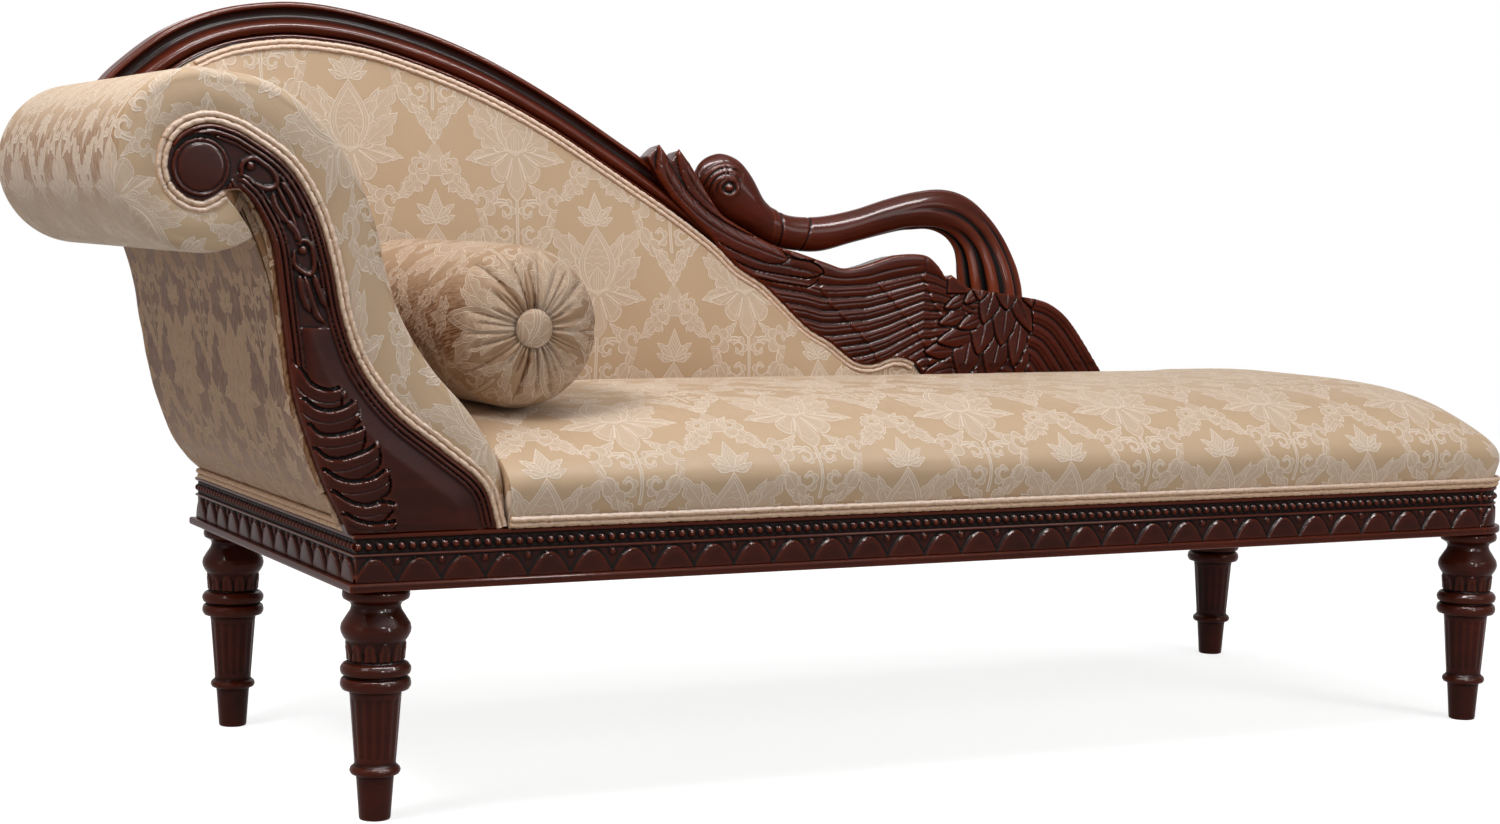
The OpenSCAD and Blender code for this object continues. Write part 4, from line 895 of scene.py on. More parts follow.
swanRelief = relief("swanFeathers", swanOutline, swanLook["spacing"], swanHeight, swanLook["plane"])
carved(swanRelief, mahogany, ["wing_feathers", "breast_feathers", "tail_feathers"], 5, 0.8)


# The board behind the feathers: as deep as the solid, and rounded over a quarter circle towards its
# outline, so the tips of the feathers thin out. Under the neck it keeps its depth.
def boardDepth(points, gap):
    near = unit(1 - gap / swanLook["round"]) * ~underNeck(points)
    return -1 - (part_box("swan_board")[1].y * 1000 - swanLook["plane"] - 1) * np.sqrt(1 - near**2)


swanBoard = relief("swanBoard", swanOutline, swanLook["boardSpacing"], boardDepth, swanLook["plane"])
dress(swanBoard, plainMahogany, ["swan_board"])


neckLook = {"flute": 0.36, "flutes": 10, "bands": (782, 822), "bandCut": 0.09, "deep": 20, "rootDeep": 10,
            "middle": 280}


# an oval tube between the neck's two outlines, with flutes that run out of its root and two cut bands
def makeNeck():
    stations = np.linspace(0, 1, 260)
    outer, inner = at(neckOuter, stations), at(neckInner, stations)
    turn = circle(80)
    middle, half = (outer + inner) / 2, (outer - inner) / 2
    u = middle[:, :1]
    flute = (1 - abs(np.cos(turn * neckLook["flutes"] / 2 + 0.5)) ** 0.6) * neckLook["flute"]
    flute = flute * np.exp(-((stations[:, None] / (0.3 + 0.09 * np.sin(turn * 5 + 1))) ** 3))
    band = sum(bell(u - spot, 1.5) * (middle[:, 1:] < 345) for spot in neckLook["bands"])
    grow = 1 - flute - band * neckLook["bandCut"]
    deep = neckLook["deep"] + neckLook["rootDeep"] * ease(1 - stations[:, None] * 5)
    grid = place(u + half[:, :1] * np.cos(turn) * grow, neckLook["middle"] - deep * np.sin(turn) * grow,
                 middle[:, 1:] + half[:, 1:] * np.cos(turn) * grow)
    o = skin("swanNeck", grid, sharp=70)
    return carved(o, mahogany, ["swan_neck"], 6, 0.6)


headLook = {"eye": (700, 366), "strands": 3, "first": 19, "apart": 7.4, "strandHigh": 1.7, "strandHalf": 3.6}


# the neck's tube goes on, swells and closes; strands, a brow and an eye are pressed into both faces
def makeHead():
    stations = np.linspace(0, 1, 110)
    outer, inner = at(headOuter, stations), at(headInner, stations)
    turn = circle(96)
    middle, half = (outer + inner) / 2, (outer - inner) / 2
    deep = (20 + 4 * ease(3 * stations)) * np.sqrt(unit(1 - ease((stations - 0.55) / 0.45) * 0.85))
    u = middle[:, :1] + half[:, :1] * np.cos(turn)
    w = middle[:, 1:] + half[:, 1:] * np.cos(turn)
    y = deep[:, None] * np.sin(turn)
    flat = np.stack([u.ravel(), w.ravel()], -1)
    press = np.zeros(len(flat))
    eye = np.array(headLook["eye"])
    for k in range(headLook["strands"]):
        radius = headLook["first"] + headLook["apart"] * k
        line = arc(eye + [-2, -4], radius, 200 - 8 * k, 40 + 6 * k, 18)
        d, t, _ = nearest(flat, line)
        strand = headLook["strandHigh"] * bump(d, headLook["strandHalf"])
        press += strand * ease(t * 6) * ease((1 - t) * 6) - 0.8 * bell(d - 3.8, 1)
    r = np.linalg.norm((flat - eye) * [1, 1.25], axis=1)
    press += 2.4 * bump(r, 5.5) - 2.0 * bell(r - 8, 2) + 1.6 * bell(r - 12.5, 2)
    press = press.reshape(u.shape) * np.abs(np.sin(turn)) ** 0.6
    grid = place(u, neckLook["middle"] - y - press * np.sign(np.sin(turn)), w)
    o = skin("swanHead", grid, sharp=70)
    return carved(o, mahogany, ["swan_head"], 5, 0.7)


makeNeck()
makeHead()
print("swan ready")

# Carved arm panel

panelLook = {"spacing": 1.25, "plane": -302.9, "leaf": 4.8, "bulge": 3.4, "ground": 0.4,
             "boss": (-157, 371), "bossRadius": 28.5, "bossGround": 33, "reedsEnd": 14.6,
             # a reed: its distance from the edge, half width and height
             "reeds": ((2.7, 2.4, 2.8), (7.9, 2.5, 3.6), (12.6, 1.9, 2.2))}
# the leaf's tiers: the line that each hangs from, and how far it falls; then the small hooks at the lines'
# ends, and the husks' loops and strips, each with its half width, and their buds
leafLines = [
    ([[-56, 169], [-47, 156], [-36, 149], [-24, 147], [-12, 150]], 26),
    ([[-51, 138], [-39, 129], [-24, 126], [-8, 130], [3, 137]], 24),
    ([[-46, 112], [-36, 103], [-18, 101], [2, 105], [12, 109]], 24),
    ([[-40, 88], [-27, 78], [-9, 77], [14, 84], [27, 92]], 24),
    ([[-30, 66], [-14, 56], [4, 53], [24, 57], [37, 66]], 24),
    ([[-20, 43], [-2, 32], [16, 28], [31, 31], [46, 29]], 22), ([[-8, 20], [8, 12], [26, 9], [48, 11]], 14)]
leafHooks = [(-10, 144), (5, 121), (25, 92), (36, 63), (45, 27)]
huskLoops = [
    ([[-116, 364], [-115, 375], [-105, 381], [-94, 376], [-83, 367], [-80, 356], [-90, 351],
      [-104, 356]], 2.8),
    ([[-62, 288], [-62, 277], [-55, 270], [-46, 266], [-41, 274], [-44, 294], [-52, 300], [-58, 296]], 2.8),
    ([[-84, 345], [-80, 332], [-68, 317]], 3.8), ([[-74, 356], [-64, 343], [-56, 324]], 3.8),
    ([[-80, 354], [-73, 340], [-63, 321], [-60, 308]], 2.6), ([[-68, 318], [-60, 309], [-56, 299]], 4.2),
    ([[-51, 262], [-43, 238], [-38, 226], [-31, 218]], 4.0), ([[-41, 264], [-36, 250], [-29, 234]], 3.8),
    ([[-56, 263], [-53, 246], [-46, 229]], 3.8)]
huskBuds = ((-107, 373), (-53, 290))


# The panel: a field that bulges between three reeds along each edge, a round boss in the scroll, then the
# leaf's tiers with their hooks, and loops, strips and buds of the husks. A reed or loop is a half round
# over its middle line.
def panelHeight(points, gap):
    u, w = points[:, 0], points[:, 1]
    edge, _, _ = nearest(points, panelEdge)
    inner, _, _ = nearest(points, panelInner)
    h = 0.5 + panelLook["bulge"] * ease((edge - 13) / 24) * ease((inner - 8) / 16) * ease((w + 8) / 20)
    onStrip = ease((u + 122) / 12)
    above = ease((w + 3) / 12)
    for d, strength in ((edge, above), (inner, onStrip * above * ease((w - 60) / 90))):
        ridges = np.zeros(len(d))
        for middle, half, lift in panelLook["reeds"]:
            ridges = np.maximum(ridges, lift * bump(d - middle, half))
        h = np.where(d < panelLook["reedsEnd"], h * (1 - strength) + (ridges + 0.5) * strength, h)
    boss, radius = np.linalg.norm(points - panelLook["boss"], axis=1), panelLook["bossRadius"]
    h = np.where(boss < panelLook["bossGround"], panelLook["ground"], h)
    h = np.where(boss < radius, 3.2 + 1.8 * bump(boss, radius) - 1.6 * bell(boss - radius + 4, 1.1), h)
    near = (u < 70) & (w < 185)
    for line, fall in leafLines:  # a tier stands up over a dark cut above its line and slopes away below
        d, t, side = nearest(points, curve(line, 6))
        end = unit((1.001 - t) * 7) ** 0.5
        reach = np.where(side > 0, 1.3, fall * (0.55 + 0.45 * np.sin(np.pi * unit(t)) ** 0.5)) * end
        body = 0.8 + panelLook["leaf"] * unit(1 - d / np.maximum(reach, 0.1)) ** np.where(side > 0, 0.5, 0.75)
        body = body - 1.0 * bell(d - fall * 0.42, 0.8) * (side <= 0)
        cut = near & (side > 0) & (d < 4.2) & (t < 0.97)
        h = np.where(near & (d < reach), body, np.where(cut, np.minimum(h, panelLook["ground"]), h))
    for hook in leafHooks:
        h = h + 2.2 * bump(np.linalg.norm(points - hook, axis=1), 3.6)
    field = (w > 212) & (edge > 14) & (inner > 14) & (boss > panelLook["bossGround"])
    h = np.where(field, panelLook["ground"], h)
    for line, half in huskLoops:
        d, t, _ = nearest(points, curve(line, 5))
        width = half * np.clip(np.minimum(0.5 + t * 5, 0.4 + (1.001 - t) * 4), 0.3, 1)
        h = np.where(d < width, np.maximum(h, 0.6 + 3.4 * bump(d, width)), h)
    for bud in huskBuds:
        d = np.linalg.norm(points - bud, axis=1)
        h = np.where(d < 4.6, 1.0 + 3.8 * bump(d, 4.6), h)
    return np.maximum(0.3, np.minimum(h, 0.6 + gap * 1.6))


panelOutline = np.vstack([panelEdge, panelInner])
armPanel = relief("armPanelCarving", panelOutline, panelLook["spacing"], panelHeight, panelLook["plane"])
carved(armPanel, baseMahoganyInShade, ["arm_mouldings", "arm_boss", "arm_husks", "arm_leaf"], 6, 0.8)
print("arm panel ready")

# Double piping: two soft cords covered in plain cloth

cordLook = {"radius": 3.4, "tuck": 15.0, "depth": 1.0, "grain": 0.5, "grainApart": 5.3, "waver": 0.35,
            "step": 1.9}


# A cord is a round tube carried along points in metres. Shallow tucks run slantwise round it, unevenly
# spaced, and its line wavers a little, as hand-sewn piping does.
def makeCord(name, path, stands=(), cloth=cordCloth):
    path = np.asarray(path, float) * 1000
    path = evenly(path, int(lengths(path)[-1] / cordLook["step"]))
    ahead = np.gradient(path, axis=0)
    ahead /= np.linalg.norm(ahead, axis=1, keepdims=True)
    up = np.where(np.abs(ahead[:, 2:]) < 0.9, [[0, 0, 1.0]], [[0, 1.0, 0]])
    across = np.cross(ahead, up)
    across /= np.linalg.norm(across, axis=1, keepdims=True)
    over = np.cross(across, ahead)
    turn = circle(14)
    far = lengths(path)[:, None]
    total = far[-1, 0]
    share = far / total
    phase = far / cordLook["tuck"] * fullTurn + turn + 3 * ripple(len(name), 7, total / 90, total / 25)(share)
    fine = far / cordLook["grainApart"] * fullTurn - turn + 2 * ripple(7, 5, total / 60, total / 20)(share)
    radius = cordLook["radius"] - cordLook["depth"] * unit(np.cos(phase)) ** 6
    radius = radius - cordLook["grain"] * unit(np.cos(fine)) ** 3
    radius = radius + 0.25 * ripple(9, 6, total / 40, total / 12)(share)
    shift = cordLook["waver"] * ripple(len(name) + 3, 6, total / 70, total / 22)(share)
    grid = path[:, None] + across[:, None] * (radius * np.cos(turn) + shift)[..., None]
    grid = grid + over[:, None] * (radius * np.sin(turn))[..., None]
    around = np.linspace(0, 2 * np.pi * cordLook["radius"], 15)[None]
    uv = stacked(far * 0.8 + around * 0.3, around * 2.2 + far * 0.35) / 1000
    o = skin(name, grid / 1000, uv=uv, sharp=80)
    return dress(o, cloth, list(stands))


def roundTheSeat(offset, w):  # front run, corner, foot, corner and the short run at the back
    inset = 50 + offset
    flat = np.vstack([[[xHead + 172, yFront - offset], [xFoot - 50, yFront - offset]],
                      arc([xFoot - 50, yFront + 50], inset, -90, 0, 16),
                      arc([xFoot - 50, yBack - 50], inset, 0, 90, 16), [[xHead + 1342, yBack + offset]]])
    return np.column_stack([flat, np.full(len(flat), w + zTop)]) / 1000


makeCord("seatCordLow", roundTheSeat(-1.6, 3.6), ["seat_piping"])
makeCord("seatCordHigh", roundTheSeat(0.2, 9.8))
backLine = np.vstack([evenly(crestInner, 400)[72:-4], evenly(wingFoot, 160)[3:-12]])
# the first cord of each pair stands for the CAD's piping
for first, shift, w in ((True, 0.4, 3.6), (False, -1.2, 9.8)):
    line = np.array([[xHead + shift, -284, zTop + w], [xHead + shift, 284, zTop + w]]) / 1000
    makeCord("armBaseCord" + ("Low" if first else "High"), line, ["arm_base_piping"] if first else [])
for first, away, y in ((True, 3.4, -302.0), (False, 9.6, -301.6)):
    line = beside(evenly(panelEdge, 260), away)
    name = "armPanelCord" + ("Inner" if first else "Outer")
    makeCord(name, place(line[:, 0], y, line[:, 1]), ["arm_front_piping"] if first else [])
for first, away, y in ((True, -3.4, 256.5), (False, -9.6, 256.2)):
    line = beside(backLine, away)
    name = "backCord" + ("Outer" if first else "Inner")
    makeCord(name, place(line[:, 0], y, line[:, 1]), ["back_piping"] if first else [])
print("piping ready")

# Seat

# the pattern's column and heart are the metres by which the cloth is shifted along and across
seatLook = {"height": 129, "dip": 14, "swell": 14, "nose": 150, "noseSwell": 8, "from": 171.7, "to": 1545,
            "halfDepth": 303, "padFront": 235.4, "swanFront": 249.7, "corner": 45,
            "column": 0.32, "heart": 0.145}


def seatTop(u):  # the top's height, lower beside the arm
    return seatLook["height"] - 0.3 - seatLook["dip"] * (1 - ease((u - seatLook["from"]) / 300))


# Sections across the seat: each is a squared oval from the back edge over the top to the front edge. They
# lean and sink at the arm, narrow behind the back padding and the swan, and shrink over the foot end.
def makeSeat():
    start, end, noseFrom = seatLook["from"], seatLook["to"], seatLook["to"] - seatLook["nose"]
    body = np.linspace(start + 30, noseFrom, 150)
    nose = noseFrom + seatLook["nose"] * np.sin(np.radians(np.linspace(3, 87, 46)))
    u = np.concatenate([start + np.array([0, 1, 4, 8, 14, 22]), body, nose])[:, None]
    edge = np.interp(u - start, [0, 4, 14, 30], [0.93, 0.955, 0.985, 1])
    a = np.radians(90 - 90 * np.cos(np.radians(np.linspace(0, 180, 96))))[None]
    t = unit((u - noseFrom) / seatLook["nose"])
    rise = np.sin(a) ** 0.57
    w = 0.3 + seatTop(u) * (1 - t**2.6) ** (1 / 2.6) * edge * rise
    full = np.sin(np.pi * unit((w - 4) / (0.75 * seatLook["height"] - 4))) ** 2
    share = np.sign(np.cos(a)) * np.abs(np.cos(a)) ** 0.57
    corner, deep, swell = seatLook["corner"], seatLook["halfDepth"], seatLook["swell"] * full
    cut = corner - np.sqrt(corner**2 - np.clip(u - end + corner, 0, corner) ** 2)
    free = ease((u - 1300) / 40)
    behind = seatLook["padFront"] + (seatLook["swanFront"] - seatLook["padFront"]) * ease((u - 1010) / 30)
    behind = behind + (deep - behind) * free
    y = share * np.where(share > 0, behind - cut + swell * free, deep - cut + swell)
    lean = np.where(u < start + 10, 0.12 * np.clip(w - 27, 0, None), 0) * (1 - (u - start) / 30)
    out = seatLook["noseSwell"] * full * ease((u - end + 60) / 60)
    soft = 0.8 * ripple(3, 7, 1, 5)((u - start) / 1380) * ripple(8, 5, 0.5, 2)(y / 620) * full ** 0.5
    x = u - lean + out
    grid = place(x, y, w + soft * (rise > 0.3))
    down = stepLengths(grid)
    uv = stacked(x / 1000 - seatLook["column"], down[:, -1:] - down - seatLook["heart"])
    last = 5 + len(body)  # over the foot end the pattern runs straight on and down
    uv[last + 1:, :, 0] = uv[last, :, 0] + np.cumsum(np.linalg.norm(np.diff(grid[last:], axis=0), axis=-1), 0)
    uv[last + 1:, :, 1] = uv[last, :, 1]
    uv = np.concatenate([uv, uv[:, -1:] + [[[0, -0.6]]]], 1)
    o = skin("seat", grid, uv=uv, sharp=85)
    return dress(o, damask, ["seat_cushion"])


makeSeat()
print("seat ready")

# Arm

armLook = {"pad": 38, "swell": 14, "fold": 13, "back": 258, "front": -299.5, "board": -285.6, "welt": -286.2,
           # where the skin's outer line and its line at the piping meet, and the points between two of these
           "outerMarks": [[171, 0.3], [-153, 470], [-245, 378], [-153, 286]],
           "weltMarks": [[158, 0.3], [-148, 415], [-190, 371], [-157, 336], [-134, 348]],
           "counts": [110, 40, 34, 14]}


def matched(path, marks, counts):  # a path in pieces between marked points, each with its number of points
    spots = [int(np.linalg.norm(path - m, axis=1).argmin()) for m in marks]
    parts = [evenly(path[a:b + 1], n + 1)[:-1] for a, b, n in zip(spots[:-1], spots[1:], counts)]
    return np.vstack(parts + [path[spots[-1]:spots[-1] + 1]])


# One padded skin: rows run from the seat over the roll, and each goes from the piping on the front over a
# rounded fold, a quarter circle, back along the arm with a swell of sin(pi t)^0.9, and returns inside.
def makeArmSkin():
    rollArc = arc(rollAxis, rollRadius, 90, 304, 60)[1:]
    outer = np.vstack([armInside, rollArc])
    counts = armLook["counts"]
    outer = matched(outer, armLook["outerMarks"] + [rollArc[-1]], counts)
    welt = matched(beside(panelEdge, 1.5)[::-1], armLook["weltMarks"], counts)
    side = leftOf(outer)
    core = outer + side * armLook["pad"]
    rows = len(outer)
    share = np.linspace(0, 1, rows)[:, None]
    w = outer[:, 1:]
    onInside = np.arange(rows)[:, None] <= counts[0]
    onArm = ease((w - 130) / 110) * ease((rollAxis[1] + 60 - w) / 90) * onInside
    fold = armLook["fold"]
    # the loop of one row: 0 to 1 front border, 1 to 2 fold, 2 to 3 the long way back, 3 to 4 a rounded end
    steps = [k + np.linspace(0, 1, n)[1:] for k, n in enumerate((16, 12, 90, 8))]
    along = np.concatenate([[0]] + steps)[None]
    border = unit(along)
    angle = unit(along - 1) * np.pi / 2
    run = unit(along - 2)
    last = unit(along - 3) * np.pi / 2
    tuck = 0.9 * ripple(5, 9, 6, 26)(share) * np.sin(np.pi * border)
    y = armLook["front"] - 4.5 * np.sin(np.pi * border * 0.9) + tuck
    y = y + fold * (1 - np.cos(angle)) * (along > 1)
    y = y + (armLook["back"] - 3 - armLook["front"] - fold) * run + 3 * np.sin(last)
    inset = fold * (1 - np.sin(angle)) * (along > 1) + 3 * (1 - np.cos(last)) * (along > 3)
    middle = np.sin(np.pi * run) ** 0.9
    swell = armLook["swell"] * onArm * middle
    soft = 1.1 * ripple(11, 6, 1, 7)(share * 1.5) * ripple(12, 5, 1, 4)(run) * middle
    foldSpot = outer[:, None] + side[:, None] * fold
    outerSpot = outer[:, None] + side[:, None] * (inset - swell - soft)[..., None]
    borderSpot = welt[:, None] + (foldSpot - welt[:, None]) * border[..., None]
    spot = np.where((along <= 1)[..., None], borderSpot, outerSpot)
    lift = np.clip(spot[..., 1], 0.5, None)
    front = place(spot[..., 0], y, lift)
    returns = ((core, armLook["back"]), (core, armLook["board"]), (welt, armLook["welt"]))
    inside = [place(line[:, :1], depth, np.maximum(line[:, 1:], 0.5)) for line, depth in returns]
    grid = np.concatenate([front] + inside, 1)
    far = lengths(outer)[:, None] / 1000
    across = stepLengths(front)[60:61]
    uv = stacked(across + 0.02, far + 0.08)
    uv = np.concatenate([uv] + [uv[:, -1:] + [[[0.05 * k, 0]]] for k in (1, 2, 3, 4)], 1)
    o = skin("armUpholstery", grid, uv=uv, sharp=75)
    return dress(o, damask, ["arm_pad_inside", "arm_pad_roll", "arm_front_border"])


makeArmSkin()
print("arm ready")

# Outside covers and the dust cover

def makeOutsideCover():  # cloth pulled over the arm's hollow back, one thin sheet with a few soft drags
    line = evenly(armOutside, 90)
    line = line[line[:, 1] > 0.4]
    side = leftOf(line)
    y = np.concatenate([[-285.2], np.linspace(-284, 288, 120), [289.3]])[None]
    share = np.linspace(0, 1, len(line))[:, None]
    drag = 0.7 * ripple(21, 8, 2, 9)(share + (y / 570) * 0.8) * np.sin(np.pi * share) ** 0.5

    def face(out):  # the line moved outwards, over the whole depth
        u, w = (line[:, k:k + 1] + side[:, k:k + 1] * out for k in (0, 1))
        return place(u, y, np.maximum(w, 0.6))

    grid = np.concatenate([face(2.6 + drag), face(1.2 + 0 * y)[:, ::-1]], 1)
    far = lengths(line)[:, None] / 1000
    uv = stacked(y / 1000, far + 0.02)
    uv = np.concatenate([uv, uv[:, ::-1], uv[:, :1]], 1)
    o = skin("armOutsideCover", grid, uv=uv, sharp=75)
    dress(o, damaskInShade, ["arm_outside_cover"])
    return o


def clothUv(o):  # the pattern laid on flat, seen from the front
    mesh = o.data
    corners = readOut(mesh.loops, "vertex_index", 1, int)
    flat = readOut(mesh.vertices, "co", 3)[:, [0, 2]][corners]
    mesh.uv_layers.new(name="cloth").data.foreach_set("uv", flat.astype(np.float32).ravel())


returnLook = {"back": -285.4, "lift": 3.2, "split": 112,
              "fold": [[-157, 336], [-144, 341], [-133, 348.5], [-121, 352.5], [-112, 350],
                       [-106, 341], [-101, 330]]}


# The outside cover's cloth comes round to the carved panel's edge: a shallow swelling strip between the two
# lines, with a tongue that is tucked up under the scroll, and a folded hem along its front edge.
def makeReturnCloth():
    inner, outer, split = beside(evenly(panelInner, 80), 1.5), evenly(armOutside, 80), returnLook["split"]
    foot = inner[(inner[:, 1] > 6) & (inner[:, 1] <= split)]
    outer = outer[outer[:, 1] > split]
    inner = inner[(inner[:, 1] > split) & (inner[:, 1] < 332)]
    fold = curve(np.array(returnLook["fold"], float), 6)
    tongue = curve([[-110, 332], [-118, 318], [-128, 309], [-140, 308], [-151, 316], [-157, 328]], 5)
    outline = thinned(np.vstack([inner, fold[::-1], tongue[::-1], outer[::-1][3:]]), 0.8)

    def height(points, gap):
        u, w = points[:, 0], points[:, 1]
        puff = 1.0 + returnLook["lift"] * ease(gap / 9) + 8 * ease((w - 322) / 22) * ease((-112 - u) / 16)
        fall = ease((330 - w) / 30) * ease((-100 - u) / 20)
        crease = 1.2 * bell(u + 132 + 0.5 * (w - 330), 3) * ease((w - 312) / 10)
        return puff - 2 * fall - crease

    o = relief("armReturnCloth", outline, 2.6, height, returnLook["back"])
    clothUv(o)
    dress(o, damaskInShade, [])
    hem = np.vstack([fold, inner[::-1][1:], foot[::-1]])
    depth = np.interp(hem[:, 1], [split, 300, 340, 352], [-289, -290, -294, -297])
    makeCord("armReturnHem", place(hem[:, 0], depth, hem[:, 1]), (), damaskInShade)
    return o


def makeRollEnd():  # a round of cloth that closes the roll's back end, slightly domed towards its middle
    rim = arc(rollAxis, rollRadius - 2, 0, 360, 91)[:-1]
    o = relief("armRollEnd", rim, 5, lambda p, gap: -1.2 - 2.4 * ease(gap / 26), 257.4)
    clothUv(o)
    dress(o, damaskInShade, [])
    return o


def makeBackCover():  # cloth stretched over the back board, a little fuller away from its edge
    top = [beside(evenly(crestInner, 160), -0.4), beside(evenly(wingFoot, 60)[1:], -0.4)]
    outline = np.vstack(top + [[[1009, 0.7], [22.5, 0.7]], beside(evenly(armOutside, 50), -0.4)])
    outline = thinned(outline, 0.5)
    o = relief("backOutsideCover", outline, 9, lambda p, gap: -1.2 - 0.8 * ease(gap / 30), 286.6)
    clothUv(o)
    dress(o, damask, ["back_outside_cover"])
    return o


def makeDustCover():  # a thin lining under the base with a slight sag, its corners cut round the legs
    low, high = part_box("dust_cover")
    notch = 65
    x0, x1, y0, y1 = low.x * 1000 - xHead, high.x * 1000 - xHead, low.y * 1000, high.y * 1000
    inX0, inX1, inY0, inY1 = x0 + notch, x1 - notch, y0 + notch, y1 - notch
    outline = np.array([[inX0, y0], [inX1, y0], [inX1, inY0], [x1, inY0], [x1, inY1], [inX1, inY1],
                        [inX1, y1], [inX0, y1], [inX0, inY1], [x0, inY1], [x0, inY0], [inX0, inY0]])
    o = relief("dustCover", outline, 16, lambda p, gap: 0.9 + 3.2 * ease(gap / 200), 0)
    spots = readOut(o.data.vertices, "co", 3)
    turned = np.stack([spots[:, 0], spots[:, 2] - zTop / 1000, spots[:, 1] + high.z], -1)
    o.data.vertices.foreach_set("co", turned.ravel())
    o.data.flip_normals()
    dress(o, lining, ["dust_cover"])
    return o


makeOutsideCover()
makeReturnCloth()
makeRollEnd()
makeBackCover()
makeDustCover()
print("covers ready")

# Back padding

backLook = {"edge": 6, "full": 28, "plane": 263.6, "column": 0.394, "heart": 0.404}


# The padding is a grid between the arm's line below and the crest's line above; it swells in the middle and
# pulls in all round its edge.
def makeBackPad():
    topLine = np.vstack([crestInner, wingFoot[1:]])
    topLine = topLine[np.argsort(topLine[:, 0])]
    lowLine = armInside[::-1]
    u = np.concatenate([np.linspace(-62, 170, 70), np.linspace(176, 1003, 170)])[:, None]
    armW = np.interp(u, lowLine[:, 0], lowLine[:, 1])
    low = np.where(u < 160, armW + 3, 30 - 29 * ease((u - 160) / 20))
    high = np.interp(u, topLine[:, 0], topLine[:, 1]) - 1.2
    t = 0.5 - 0.5 * np.cos(np.pi * np.linspace(0, 1, 60)[None])
    w = low + (high - low) * t
    fade = ease((u + 66) / 110) * ease((1010 - u) / 230)
    fromEdge = np.minimum(w - low, high - w)
    puff = backLook["edge"] + (backLook["full"] - backLook["edge"]) * fade * np.sin(np.pi * t) ** 1.1
    puff = puff * (0.35 + 0.65 * ease(fromEdge / 7 + 0.1))
    soft = 0.9 * ripple(31, 6, 1, 5)(u / 1000 + w / 900) * ease(fromEdge / 40) * ease((1000 - u) / 100)
    front = place(u, backLook["plane"] - puff - soft, w)
    back = place(u, backLook["plane"] + 0.1, w[:, ::-1][:, ::6])
    grid = np.concatenate([front, back], 1)
    uv = stacked(u / 1000 - backLook["column"], w / 1000 - backLook["heart"])
    uv = np.concatenate([uv, uv[:, ::-1][:, ::6], uv[:, :1]], 1)
    o = skin("backUpholstery", grid, uv=uv, sharp=75)
    return dress(o, damask, ["back_padding"])


makeBackPad()
print("back ready")

# Bolster

bolsterLook = {"radius": 90, "gather": 50, "creases": 34, "around": 448, "button": 20.5, "thick": 7}


